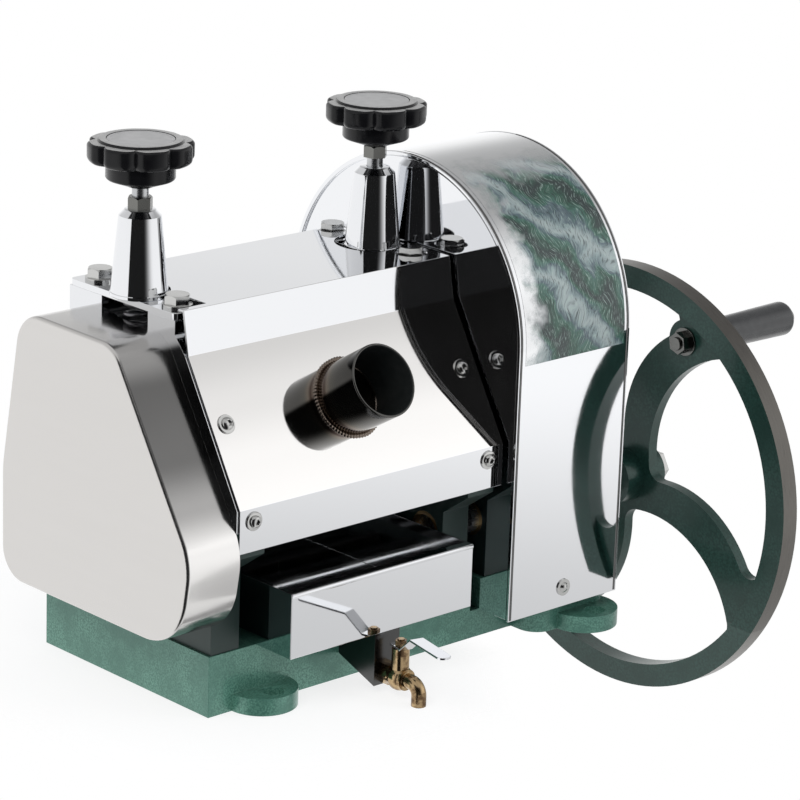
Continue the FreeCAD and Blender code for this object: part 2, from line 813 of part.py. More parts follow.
def make_roller(y, z, right_end_x, right_seat_radius, right_seat_from):
    left_end = roller_gear_left_x - clip_thickness - 3
    roller = fluted_roller(y, z)
    roller = roller.fuse(rod_x(left_frame_x - roller_gear_gap, roller_left_x + 1, y, z, journal_radius))
    roller = roller.fuse(rod_x(left_end, left_frame_x, y, z, gear_seat_radius))
    roller = roller.fuse(rod_x(roller_right_x - 1, right_seat_from, y, z, journal_radius))
    if right_end_x > right_seat_from:
        roller = roller.fuse(rod_x(right_seat_from - 1, right_end_x, y, z, right_seat_radius))
    key = key_bar(roller_gear_left_x, roller_gear_right_x, y, z, gear_seat_radius)
    roller = roller.cut(key)
    groove_end = roller_gear_left_x - clip_thickness
    roller = roller.cut(ring_x(groove_end, roller_gear_left_x, y, z, gear_seat_radius + 1, gear_seat_radius - 2))
    return roller


def make_roller_gear(y, z, tooth_angle):
    gear = gear_blank(
        roller_gear_left_x, roller_gear_right_x, y, z, roller_gear_module, roller_gear_teeth, tooth_angle,
        roller_gear_play,
    )
    gear = gear.cut(rod_x(roller_gear_left_x - 1, roller_gear_right_x + 1, y, z, gear_seat_radius))
    return gear.cut(key_bar(roller_gear_left_x - 1, roller_gear_right_x + 1, y, z, gear_seat_radius))


def make_clip(x0, y, z, seat_radius):
    """A retaining ring in its groove, open at the bottom."""
    ring = ring_x(x0, x0 + clip_thickness, y, z, clip_radius, seat_radius - 2)
    return ring.cut(box(x0 - 1, x0 + clip_thickness + 1, y - 3, y + 3, z - clip_radius - 1, z - 3))


def make_roller_retainers(y, z):
    key = key_bar(roller_gear_left_x, roller_gear_right_x, y, z, gear_seat_radius)
    return Part.makeCompound([key, make_clip(roller_gear_left_x - clip_thickness, y, z, gear_seat_radius)])


def drive_train_gear(x0, x1, y, z, teeth, tooth_angle, bore_radius, hub_radius):
    """A keyed gear; a large one gets a thin web with six round windows."""
    gear = gear_blank(x0, x1, y, z, drive_module, teeth, tooth_angle, drive_gear_play)
    rim_inner = drive_module * teeth / 2 - 1.25 * drive_module - gear_rim
    if rim_inner > hub_radius + 10:
        side = (x1 - x0 - gear_web) / 2
        for a, b in ((x0 - 1, x0 + side), (x1 - side, x1 + 1)):
            gear = gear.cut(ring_x(a, b, y, z, rim_inner, hub_radius))
        hole_ring = (rim_inner + hub_radius) / 2
        hole_radius = (rim_inner - hub_radius) * 0.32
        for i in range(6):
            angle = math.radians(60 * i)
            gear = gear.cut(
                rod_x(x0 - 1, x1 + 1, y + hole_ring * math.cos(angle), z + hole_ring * math.sin(angle), hole_radius)
            )
    gear = gear.cut(rod_x(x0 - 1, x1 + 1, y, z, bore_radius))
    return gear.cut(key_bar(x0 - 1, x1 + 1, y, z, bore_radius))


def make_panel():
    """One folded sheet: sloping front, upright bands above and below it, and the flat top."""
    outer = panel_profile(0)
    inner = panel_profile(panel_thickness)
    sheet = prism_x(outer + list(reversed(inner)), panel_left_x, panel_right_x)
    top_plate = box(
        panel_cover_left, panel_right_x, panel_top[0] + 0.2, panel_cover_rear,
        panel_top[1] - panel_thickness, panel_top[1],
    )
    sheet = sheet.fuse(top_plate)
    fold = box(
        panel_left_x, panel_right_x, panel_top[0], panel_top[0] + 6.0, panel_top[1] - panel_thickness, panel_top[1]
    )
    sheet = sheet.fuse(fold)
    sheet = sheet.cut(rod_z(panel_top[1] - 10, panel_top[1] + 10, right_tower_x, tower_y, tower_hole_radius))
    sheet = sheet.cut(
        rod_z(panel_top[1] - 10, panel_top[1] + 10, left_tower_x, tower_y, tower_bottom_radius + tower_notch_gap)
    )
    for bolt_x, bolt_y in cap_bolt_places(right_tower_x):
        hole = rod_z(panel_top[1] - 10, panel_top[1] + 10, bolt_x, bolt_y, cap_washer_diameter / 2 + 1.5)
        sheet = sheet.cut(hole)
    for point, out in panel_screw_places():
        sheet = sheet.cut(Part.makeCylinder(panel_screw_radius + 0.3, 10, point - out * 5, out))
    center = panel_point(feed_tube_x, feed_tube_along)
    inner_radius = feed_tube_radius - feed_tube_wall
    return sheet.cut(Part.makeCylinder(inner_radius, 20, center - panel_out * 10, panel_out))


def panel_screw_places():
    """Each screw's seat and the way its head faces: two on the slope, two on the band below it."""
    places = []
    for x in (panel_screw_left_x, panel_screw_right_x):
        places.append((panel_point(x, panel_screw_from_upper_bend), panel_out))
        places.append((V(x, panel_lower_bend[0], panel_lower_screw_z), V(0, -1, 0)))
    return places


def make_feed_tube():
    center = panel_point(feed_tube_x, feed_tube_along)
    tube = Part.makeCylinder(feed_tube_radius, feed_tube_length, center, panel_out)
    weld = Part.makeCone(
        feed_tube_radius + feed_weld_width, feed_tube_radius, feed_weld_width * 0.6, center, panel_out
    )
    tube = tube.fuse(weld)
    return tube.cut(
        Part.makeCylinder(feed_tube_radius - feed_tube_wall, feed_tube_length + 2, center - panel_out, panel_out)
    )


def make_panel_screws():
    pieces = []
    reach = panel_screw_length + panel_washer_thickness
    for point, out in panel_screw_places():
        washer = Part.makeCylinder(panel_washer_radius, panel_washer_thickness, point, out)
        hole = Part.makeCylinder(panel_screw_radius + 0.1, 10, point - out, out)
        pieces.append(washer.cut(hole))
        seat = point + out * panel_washer_thickness
        head = Part.makeCylinder(panel_screw_head_radius, panel_screw_head_height, seat, out)
        socket = hex_prism(4.0, 10, seat + out * 1.2, out)
        shank = Part.makeCylinder(panel_screw_radius, reach, seat - out * reach, out)
        pieces.append(head.cut(socket).fuse(shank))
    return Part.makeCompound(pieces)


def cut_panel_screw_holes(frame):
    depth = panel_screw_length + 2
    for point, out in panel_screw_places():
        frame = frame.cut(Part.makeCylinder(panel_screw_radius + 0.3, depth + 2, point - out * depth, out))
    return frame


def make_rear_guard():
    """A folded sheet on the rear of the frames, with the way out for the pressed cane."""
    y0 = frame_top_rear
    y1 = frame_rear_foot
    t = guard_thickness
    x0 = left_frame_x + 2
    x1 = right_frame_end_x - 2
    lower_z = base_height + tray_height + 4
    outer = [
        (y0 + t, frame_top - 2), (y0 + t, frame_shoulder_z),
        (y1 + t, frame_shoulder_z - guard_slope_height), (y1 + t, lower_z),
    ]
    inner = [
        (y1, lower_z), (y1, frame_shoulder_z - guard_slope_height), (y0, frame_shoulder_z), (y0, frame_top - 2),
    ]
    guard = prism_x(outer + inner, x0, x1)
    middle = (left_frame_end_x + right_frame_x) / 2
    half = chute_width / 2 - t
    window = box(middle - half, middle + half, y0 - 5, y1 + 10, chute_opening_bottom, chute_opening_top)
    return guard.cut(window)


def make_chute():
    """The chute below the window, with two low sides that stand on the guard's slope."""
    middle = (left_frame_end_x + right_frame_x) / 2
    x0 = middle - chute_width / 2
    x1 = middle + chute_width / 2
    t = guard_thickness
    lean = (frame_rear_foot - frame_top_rear) / guard_slope_height
    z0 = chute_opening_bottom
    y0 = frame_top_rear + t + (frame_shoulder_z - z0) * lean
    y1 = y0 + chute_length
    floor = [(y0, z0), (y1, z0 - chute_drop), (y1, z0 - chute_drop - t), (y0 + t * lean, z0 - t)]
    side = [
        (y0, z0), (y1, z0 - chute_drop), (y1, z0 - chute_drop + chute_side_end),
        (y0 - chute_side_height * lean, z0 + chute_side_height),
    ]
    chute = prism_x(floor, x0, x1)
    return chute.fuse([prism_x(side, x0, x0 + t), prism_x(side, x1 - t, x1)])


def make_trash_plate():
    """The bar between the lower rollers that turns the cane from the front nip into the rear nip."""
    front = V(0, front_roller_y, front_roller_z)
    rear = V(0, rear_roller_y, rear_roller_z)
    across = (rear - front).normalize()
    upwards = V(0, -across.z, across.y)
    middle = (front + rear) * 0.5
    half_distance = (rear - front).Length / 2
    reach = roller_radius + trash_plate_gap
    edge = [(trash_plate_stem / 2, -trash_plate_drop), (trash_plate_stem / 2, 0)]
    for i in range(1, 4):
        height = trash_plate_rise * i / 3
        edge.append((half_distance - math.sqrt(reach ** 2 - height ** 2), height))
    mirrored = [(-half, height) for half, height in reversed(edge)]
    points = []
    for half, height in edge + mirrored:
        point = middle + across * half + upwards * height
        points.append((point.y, point.z))
    return prism_x(points, left_frame_end_x, right_frame_x)


def edges_at_x(shape, x):
    return [edge for edge in shape.Edges if abs(edge.BoundBox.XMin - x) < 0.01 and edge.BoundBox.XLength < 0.01]


def make_left_cover():
    outer = rounded_prism_x(left_cover_corners, left_cover_x, left_frame_x)
    outer = outer.makeFillet(left_cover_edge_radius, edges_at_x(outer, left_cover_x))
    inner_x = left_cover_x + left_cover_wall
    inner = rounded_prism_x(left_cover_corners, inner_x, left_frame_x + 1, left_cover_wall)
    inner = inner.makeFillet(left_cover_edge_radius - left_cover_wall, edges_at_x(inner, inner_x))
    cover = outer.cut(inner)
    for seat, out in cover_ear_places():
        cover = cover.cut(Part.makeCylinder(cover_screw_radius + 0.3, 4, seat - out * 2, out))
    return cover


def cover_ear_places():
    """Where the left cover is screwed on: (seat point, outward direction) below and behind."""
    x = left_frame_x - cover_ear_reach / 2
    rear = left_cover_corners[3][0]
    bottom = left_cover_corners[3][1]
    return (
        (V(x, cap_middle_y - 20, bottom), V(0, 0, -1)),
        (V(x, rear, bottom + left_cover_corners[3][2] + cover_ear_size), V(0, 1, 0)),
    )


def add_cover_ears(frame):
    for seat, out in cover_ear_places():
        inner = seat - out * left_cover_wall
        half = cover_ear_size / 2
        far = inner - out * cover_ear_size
        y0 = min(inner.y, far.y) - (half if out.z else 0)
        y1 = max(inner.y, far.y) + (half if out.z else 0)
        z0 = min(inner.z, far.z) - (half if out.y else 0)
        z1 = max(inner.z, far.z) + (half if out.y else 0)
        ear = box(left_frame_x - cover_ear_reach, left_frame_x + 1, y0, y1, z0, z1)
        hole = Part.makeCylinder(cover_screw_radius + 0.3, 12, inner - out * 11, out)
        frame = frame.fuse(ear).cut(hole)
    return frame


def dome_screw(seat, out):
    """A dome-headed screw and its washer on a seat point, pointing back into the part."""
    washer_thickness = 1.0
    washer = Part.makeCylinder(cover_screw_head_radius + 2.6, washer_thickness, seat, out)
    washer = washer.cut(Part.makeCylinder(cover_screw_radius + 0.1, 4, seat - out, out))
    ball_radius = cover_screw_head_radius * 1.15
    dome = Part.makeSphere(ball_radius, seat + out * (washer_thickness - ball_radius * 0.48))
    keep = Part.makeCylinder(cover_screw_head_radius, 5, seat + out * washer_thickness, out)
    shank = Part.makeCylinder(cover_screw_radius, 10, seat - out * 8.5, out)
    return [dome.common(keep).fuse(shank), washer]


def make_arch_outline(x0, x1, inset):
    """The tombstone outline: a half round over an upright box."""
    radius = arch_radius - inset
    dome = rod_x(x0, x1, arch_center_y, arch_center_z, radius)
    body = box(x0, x1, arch_center_y - radius, arch_center_y + radius, arch_bottom_z, arch_center_z)
    return dome.fuse(body).removeSplitter()


def make_arch_cover():
    """The band and the outer plate in one shell, open underneath and towards the right frame."""
    shell = make_arch_outline(arch_left_x, arch_right_x, 0)
    inner = make_arch_outline(arch_left_x - 1, arch_right_x - arch_wall, arch_wall)
    below = box(
        arch_left_x - 1, arch_right_x - arch_wall, arch_front_y + arch_wall, arch_rear_y - arch_wall,
        arch_bottom_z - 1, arch_bottom_z + 1,
    )
    shell = shell.cut([inner, below])
    for x0 in (arch_left_x, arch_right_x - arch_bead):
        bead = make_arch_outline(x0, x0 + arch_bead, 0)
        bead = bead.cut(make_arch_outline(x0 - 1, x0 + arch_bead + 1, arch_wall + 0.8))
        bead = bead.cut(
            box(x0 - 1, x0 + arch_bead + 1, arch_front_y + arch_wall + 0.8, arch_rear_y - arch_wall - 0.8,
                arch_bottom_z - 1, arch_bottom_z + 2)
        )
        shell = shell.fuse(bead)
    shell = shell.cut(rod_x(arch_right_x - 5, arch_right_x + 5, drive_axis_y, drive_axis_z, arch_shaft_hole_radius))
    for y0 in (arch_front_y - 1, arch_rear_y - arch_wall - 1):
        shell = shell.cut(rod_y(y0, y0 + arch_wall + 2, arch_screw_x, arch_screw_z, cover_screw_radius + 0.3))
    return shell


def make_back_plate():
    """The inner plate that closes the arch cover against the right frame."""
    x0 = arch_left_x + arch_bead + guard_gap
    inset = arch_wall + 0.8 + guard_gap
    plate = make_arch_outline(x0, x0 + guard_thickness, inset)
    lift = block_lift + 3
    slot = rod_x(x0 - 1, x0 + 5, tower_y, top_roller_z, journal_radius + 3)
    slot_top = rod_x(x0 - 1, x0 + 5, tower_y, top_roller_z + lift, journal_radius + 3)
    between = box(
        x0 - 1, x0 + 5, tower_y - journal_radius - 3, tower_y + journal_radius + 3, top_roller_z, top_roller_z + lift
    )
    plate = plate.cut([slot, slot_top, between])
    for y, z in back_plate_spacer_places():
        plate = plate.cut(rod_x(x0 - 1, x0 + 5, y, z, stud_radius + 0.1))
    return plate.cut(rod_x(x0 - 1, x0 + 5, drive_axis_y, drive_axis_z, drive_shaft_radius + 3))


def back_plate_spacer_places():
    return (
        (frame_top_front + 12, 236.0), (frame_top_rear - 12, 236.0),
        (frame_rear_foot - 14, 84.0), (68.0, 64.0),
    )


def make_back_plate_studs():
    """Spacer studs that hold the back plate off the right frame."""
    x0 = right_frame_end_x
    x1 = arch_left_x + arch_bead + guard_gap
    pieces = []
    for y, z in back_plate_spacer_places():
        spacer = rod_x(x0, x1, y, z, stud_spacer_radius)
        head = rod_x(x1 + guard_thickness, x1 + guard_thickness + 3, y, z, stud_head_radius)
        stud = rod_x(x0 + 1, x1 + guard_thickness + 1, y, z, stud_radius)
        pieces.append(spacer.fuse([stud, head]))
    return Part.makeCompound(pieces)


def make_arch_cover_screws():
    """One screw at the front and one at the rear."""
    pieces = []
    for outer_y, way in ((arch_front_y, -1), (arch_rear_y, 1)):
        pieces.extend(dome_screw(V(arch_screw_x, outer_y, arch_screw_z), V(0, way, 0)))
    return Part.makeCompound(pieces)


def make_left_cover_screws():
    pieces = []
    for seat, out in cover_ear_places():
        pieces.extend(dome_screw(seat, out))
    return Part.makeCompound(pieces)


def make_drive_bracket():
    """The bearing pedestal of the drive shaft, bolted to the base's low flange."""
    x0 = bracket_x
    x1 = bracket_x + bracket_thickness
    boss = drive_bush_radius + bracket_boss_wall
    middle = drive_axis_y + 16
    foot = box(x0, x1, middle - bracket_foot_width / 2, middle + bracket_foot_width / 2, flange_height, flange_height + 12)
    web = [
        (drive_axis_y - boss, drive_axis_z), (drive_axis_y - boss, flange_height + 6),
        (middle + 16, flange_height + 6), (drive_axis_y + boss, drive_axis_z),
    ]
    bracket = foot.fuse([prism_x(web, x0, x1), rod_x(x0, x1, drive_axis_y, drive_axis_z, boss)])
    bracket = bracket.cut(rod_x(x0 - 1, x1 + 1, drive_axis_y, drive_axis_z, drive_bush_radius))
    for bolt_y in bracket_bolt_places():
        bracket = bracket.cut(
            rod_z(flange_height - 1, flange_height + 60, (x0 + x1) / 2, bolt_y, foot_bolt_diameter / 2 + 0.3)
        )
        bracket = bracket.cut(rod_z(flange_height + 12, flange_height + 60, (x0 + x1) / 2, bolt_y, cap_bolt_flats / 2 + 2))
    return bracket.removeSplitter()


def make_bracket_bolts():
    pieces = []
    x = bracket_x + bracket_thickness / 2
    for bolt_y in bracket_bolt_places():
        seat = flange_height + 12
        head = hex_prism(cap_bolt_flats, cap_bolt_head, V(x, bolt_y, seat), Z_AXIS)
        shank = rod_z(2.0, seat + 1, x, bolt_y, foot_bolt_diameter / 2)
        pieces.append(head.fuse(shank))
    return pieces


def window_face(x, turn):
    """One opening between two spokes, in the wheel's plane."""
    def place(point):
        u = point[0] * math.cos(turn) - point[1] * math.sin(turn)
        v = point[0] * math.sin(turn) + point[1] * math.cos(turn)
        return V(x, drive_axis_y - u, drive_axis_z + v)

    def on_rim(degrees):
        return (wheel_rim_inner * math.cos(math.radians(degrees)), wheel_rim_inner * math.sin(math.radians(degrees)))

    hub = place(window_hub_corner)
    lead = place(on_rim(window_lead_angle))
    trail = place(on_rim(window_trail_angle))
    crown = place(on_rim((window_lead_angle + window_trail_angle) / 2))
    edges = [
        Part.Arc(hub, place(window_lead_point), lead).toShape(),
        Part.Arc(lead, crown, trail).toShape(),
        Part.Arc(trail, place(window_trail_point), hub).toShape(),
    ]
    return Part.Face(Part.Wire(edges))


def make_handwheel():
    x0 = wheel_x
    x1 = wheel_x + wheel_rim_width
    disc = rod_x(x0, x1, drive_axis_y, drive_axis_z, wheel_radius)
    web_x0 = x0 + wheel_web_recess
    web_x1 = web_x0 + wheel_web_thickness
    wheel = disc.cut(rod_x(x0 - 1, web_x0, drive_axis_y, drive_axis_z, wheel_rim_inner))
    if web_x1 < x1:
        wheel = wheel.cut(rod_x(web_x1, x1 + 1, drive_axis_y, drive_axis_z, wheel_rim_inner))
    for i in range(wheel_window_count):
        face = window_face(x0 - 2, 2 * math.pi * i / wheel_window_count)
        prism = face.extrude(V(wheel_rim_width + 4, 0, 0))
        uprights = []
        for edge in prism.Edges:
            if abs(edge.tangentAt(edge.FirstParameter).x) > 0.99:
                uprights.append(edge)
        wheel = wheel.cut(prism.makeFillet(window_corner_radius, uprights))
    hub = rod_x(x0 - wheel_hub_front, x1 + wheel_hub_back, drive_axis_y, drive_axis_z, wheel_hub_radius)
    wheel = wheel.fuse(hub)
    crank = crank_point(0)
    wheel = wheel.fuse(rod_x(web_x0, x1 + 2, crank.y, crank.z, crank_boss_radius))
    wheel = wheel.cut(rod_x(x0 - 20, x1 + 20, crank.y, crank.z, crank_pin_radius + 0.1))
    wheel = wheel.cut(rod_x(x0 - 20, x1 + 30, drive_axis_y, drive_axis_z, drive_shaft_radius))
    wheel = wheel.cut(
        key_bar(x0 - wheel_hub_front - 1, x1 + wheel_hub_back + 1, drive_axis_y, drive_axis_z, drive_shaft_radius)
    )
    return wheel.removeSplitter()


def crank_point(x):
    angle = math.radians(crank_angle)
    return V(x, drive_axis_y - crank_radius * math.cos(angle), drive_axis_z + crank_radius * math.sin(angle))


wheel_back_x = wheel_x + wheel_rim_width + wheel_hub_back
drive_shaft_right_x = wheel_back_x + wheel_washer_thickness + wheel_nut_height + 3
thread_start_x = wheel_back_x - 1


def make_drive_shaft():
    shaft = rod_x(drive_shaft_left_x, thread_start_x, drive_axis_y, drive_axis_z, drive_shaft_radius)
    thread = rod_x(thread_start_x - 1, drive_shaft_right_x, drive_axis_y, drive_axis_z, drive_shaft_radius - 3)
    shaft = shaft.fuse(thread)
    for x0, x1 in drive_key_spans():
        shaft = shaft.cut(key_bar(x0, x1, drive_axis_y, drive_axis_z, drive_shaft_radius))
    return shaft


pinion_x = drive_gear_x - (pinion_width - drive_gear_width) / 2


def drive_key_spans():
    return (
        (pinion_x, pinion_x + pinion_width),
        (wheel_x - wheel_hub_front + 2, wheel_back_x - 2),
    )


def make_drive_fittings():
    """Two keys, the collar beside the pedestal, and the wheel's washer and nut."""
    pieces = []
    for x0, x1 in drive_key_spans():
        pieces.append(key_bar(x0, x1, drive_axis_y, drive_axis_z, drive_shaft_radius))
    collar_x = bracket_x + bracket_thickness + guard_gap
    pieces.append(
        ring_x(collar_x, collar_x + shaft_collar_width, drive_axis_y, drive_axis_z, shaft_collar_radius, drive_shaft_radius)
    )
    washer_end = wheel_back_x + wheel_washer_thickness
    thread_radius = drive_shaft_radius - 3
    pieces.append(ring_x(wheel_back_x, washer_end, drive_axis_y, drive_axis_z, wheel_washer_radius, thread_radius + 0.1))
    nut = hex_prism(wheel_nut_flats, wheel_nut_height, V(washer_end, drive_axis_y, drive_axis_z), X_AXIS)
    pieces.append(nut.cut(rod_x(washer_end - 1, washer_end + 20, drive_axis_y, drive_axis_z, thread_radius)))
    return Part.makeCompound(pieces)


def make_crank_bolt():
    """The bolt that carries the grip: its nut and washer show on the wheel's near face."""
    p = crank_point(0)
    face = wheel_x + wheel_web_recess
    back = wheel_x + wheel_rim_width + 2
    washer = ring_x(face - crank_washer_thickness, face, p.y, p.z, crank_washer_radius, crank_pin_radius + 0.1)
    nut_x = face - crank_washer_thickness - crank_nut_height
    nut = hex_prism(crank_nut_flats, crank_nut_height, V(nut_x, p.y, p.z), X_AXIS, 20)
    nut = nut.cut(rod_x(nut_x - 1, nut_x + 20, p.y, p.z, crank_pin_radius))
    shoulder = rod_x(back, back + grip_gap, p.y, p.z, crank_pin_radius + 3)
    pin = rod_x(nut_x - 2, back + grip_gap + grip_length + 1.2, p.y, p.z, crank_pin_radius)
    head = rod_x(back + grip_gap + grip_length + 1.0, back + grip_gap + grip_length + 4, p.y, p.z, crank_pin_radius + 2.5)
    return Part.makeCompound([washer, nut, pin.fuse([shoulder, head])])


def make_grip():
    """A tapered sleeve with a rounded end, free to turn on the crank bolt."""
    p = crank_point(0)
    start = wheel_x + wheel_rim_width + 2 + grip_gap + guard_gap
    end = start + grip_length - guard_gap
    root = crank_point(start)
    crown = 5.0
    profile = [
        V(start, root.y, root.z), V(start, root.y, root.z + grip_radius - 1.5),
        V(start + 1.5, root.y, root.z + grip_radius), V(end - crown, root.y, root.z + grip_end_radius),
        V(end, root.y, root.z + grip_end_radius - crown), V(end, root.y, root.z),
    ]
    turn = crown * (1 - math.sqrt(0.5))
    edges = [
        Part.LineSegment(profile[0], profile[1]).toShape(),
        Part.LineSegment(profile[1], profile[2]).toShape(),
        Part.LineSegment(profile[2], profile[3]).toShape(),
        Part.Arc(profile[3], V(end - turn, root.y, root.z + grip_end_radius - turn), profile[4]).toShape(),
        Part.LineSegment(profile[4], profile[5]).toShape(),
        Part.LineSegment(profile[5], profile[0]).toShape(),
    ]
    grip = Part.Face(Part.Wire(edges)).revolve(root, X_AXIS, 360)
    return grip.cut(rod_x(start - 1, end + 1, p.y, p.z, crank_pin_radius + running_clearance))


def make_tray():
    """An open drawer with a folded lip along the top of its front."""
    z0 = base_height + tray_gap
    z1 = base_height + tray_height
    t = tray_wall
    outer = box(tray_left_x, tray_right_x, tray_front_y, tray_rear_y, z0, z1)
    inner = box(tray_left_x + t, tray_right_x - t, tray_front_y + t, tray_rear_y - t, z0 + t, z1 + 1)
    tray = outer.cut(inner)
    lip = box(tray_left_x, tray_right_x, tray_front_y, tray_front_y + tray_lip, z1 - t, z1)
    tray = tray.fuse(lip)
    drain_x = outlet_left_x + outlet_width / 2
    drain_y = tray_front_y + 20
    return tray.cut(rod_z(z0 - 1, z0 + t + 1, drain_x, drain_y, outlet_width / 2 - 4))


def make_outlet():
    """The narrow well under the tray's overhang that leads the juice to the tap."""
    x0 = outlet_left_x
    x1 = outlet_left_x + outlet_width
    top = base_height + tray_gap
    back = -outlet_back_gap
    outline = [
        (back, top), (back, top - outlet_back_depth), (tray_front_y, top - outlet_front_depth), (tray_front_y, top),
    ]
    t = outlet_wall
    hollow = [
        (back - t, top + 1), (back - t, top - outlet_back_depth + t + 0.4),
        (tray_front_y + t, top - outlet_front_depth + t + 0.6), (tray_front_y + t, top + 1),
    ]
    well = prism_x(outline, x0, x1).cut(prism_x(hollow, x0 + t, x1 - t))
    middle = (x0 + x1) / 2
    return well.cut(rod_y(tray_front_y - 1, tray_front_y + t + 1, middle, tap_z, tap_shank_radius))


tap_x = outlet_left_x + outlet_width / 2
tap_body_front = tray_front_y - tap_hex_length - tap_body_length
tap_stem_y = tray_front_y - tap_hex_length - tap_body_length / 2
tap_neck_top = tap_z + tap_body_radius + tap_neck_height - 3
tap_ball_clearance = 0.3


def make_tap_body():
    """A brass tap: hexagon, round body, neck for the stem, and a spout that turns down."""
    hexagon = hex_prism(tap_hex_flats, tap_hex_length, V(tap_x, tray_front_y, tap_z), V(0, -1, 0))
    shank = rod_y(tray_front_y - 1, tray_front_y + outlet_wall + 6, tap_x, tap_z, tap_shank_radius)
    body = rod_y(tap_body_front, tray_front_y - tap_hex_length + 1, tap_x, tap_z, tap_body_radius)
    swell = Part.makeSphere(tap_body_radius + 1.6, V(tap_x, tap_stem_y, tap_z))
    neck = rod_z(tap_z, tap_neck_top, tap_x, tap_stem_y, tap_neck_radius)
    run_end = tap_body_front - tap_spout_run + tap_spout_bend
    turn_y = run_end - tap_spout_bend
    diagonal = tap_spout_bend * (1 - math.sqrt(0.5))
    path = Part.Wire([
        Part.LineSegment(V(tap_x, tap_body_front + 2, tap_z), V(tap_x, run_end, tap_z)).toShape(),
        Part.Arc(
            V(tap_x, run_end, tap_z), V(tap_x, turn_y + diagonal, tap_z - diagonal),
            V(tap_x, turn_y, tap_z - tap_spout_bend),
        ).toShape(),
        Part.LineSegment(
            V(tap_x, turn_y, tap_z - tap_spout_bend), V(tap_x, turn_y, tap_z - tap_spout_drop)
        ).toShape(),
    ])
    spout = pipe_along(path, tap_spout_radius, V(tap_x, tap_body_front + 2, tap_z), V(0, -1, 0))
    bore = pipe_along(path, tap_bore_radius, V(tap_x, tap_body_front + 2, tap_z), V(0, -1, 0))
    tap = hexagon.fuse([shank, body, swell, neck, spout])
    through = rod_y(tap_body_front - 1, tray_front_y + 20, tap_x, tap_z, tap_bore_radius)
    mouth = rod_z(tap_z - tap_spout_drop - 1, tap_z - tap_spout_drop + 2, tap_x, turn_y, tap_bore_radius)
    room = Part.makeSphere(tap_ball_radius + tap_ball_clearance, V(tap_x, tap_stem_y, tap_z))
    stem_hole = rod_z(tap_z, tap_neck_top + 1, tap_x, tap_stem_y, tap_stem_radius + running_clearance)
    return tap.cut([through, bore, mouth, room, stem_hole])


def pipe_along(path, radius, start, direction):
    section = Part.Wire([Part.makeCircle(radius, start, direction)])
    sweep = Part.BRepOffsetAPI.MakePipeShell(path)
    sweep.add(section)
    sweep.build()
    sweep.makeSolid()
    return sweep.shape()


lever_seat_z = tap_neck_top + 0.4


def make_tap_stem():
    """The drilled ball and its stem in one piece."""
    ball = Part.makeSphere(tap_ball_radius, V(tap_x, tap_stem_y, tap_z))
    top = lever_seat_z + tap_lever_thickness + tap_nut_height + 1
    stem = rod_z(tap_z, top, tap_x, tap_stem_y, tap_stem_radius)
    ball = ball.fuse(stem)
    return ball.cut(rod_y(tap_stem_y - 20, tap_stem_y + 20, tap_x, tap_z, tap_bore_radius - 0.6))


def make_tap_lever():
    """A pressed steel lever: flat at the stem, then a step up to the paddle, set a little aside."""
    t = tap_lever_thickness
    z = lever_seat_z
    y0 = tap_stem_y + 7
    bend_a = tap_stem_y - tap_lever_flat
    bend_b = bend_a - tap_lever_step
    tip = tap_stem_y - tap_lever_length
    rise = tap_lever_rise
    outline = [
        (y0, z), (y0, z + t), (bend_a, z + t), (bend_b, z + t + rise), (tip, z + t + rise + 1),
        (tip, z + rise + 1), (bend_b, z + rise), (bend_a, z),
    ]
    half = tap_lever_width / 2
    lever = prism_x(outline, tap_x - half, tap_x + half)
    corners = []
    for edge in lever.Edges:
        place = edge.CenterOfMass
        if edge.Length < t * 1.2 and place.y < tip + 1:
            corners.append(edge)
    lever = lever.makeFillet(half - 0.6, corners)
    lever = lever.cut(rod_z(z - 1, z + t + 20, tap_x, tap_stem_y, tap_stem_radius))
    lever.rotate(V(tap_x, tap_stem_y, 0), Z_AXIS, -tap_lever_angle)
    return lever


def make_tap_nut():
    z = lever_seat_z + tap_lever_thickness
    nut = hex_prism(tap_nut_flats, tap_nut_height, V(tap_x, tap_stem_y, z), Z_AXIS, 12)
    return nut.cut(rod_z(z - 1, z + tap_nut_height + 1, tap_x, tap_stem_y, tap_stem_radius))


# Gear phases: each follower's gap faces its driver's tooth
drive_direction = math.degrees(math.atan2(top_roller_z - drive_axis_z, tower_y - drive_axis_y))
pinion_tooth = drive_direction
drive_gear_tooth = meshing_angle(drive_direction, pinion_tooth, pinion_teeth, drive_gear_teeth)
front_direction = math.degrees(math.atan2(front_roller_z - top_roller_z, front_roller_y - tower_y))
rear_direction = math.degrees(math.atan2(rear_roller_z - top_roller_z, rear_roller_y - tower_y))
top_tooth = front_direction
front_tooth = meshing_angle(front_direction, top_tooth, roller_gear_teeth, roller_gear_teeth)
rear_tooth = meshing_angle(rear_direction, top_tooth, roller_gear_teeth, roller_gear_teeth)
drive_gear_end_x = drive_gear_x + drive_gear_width

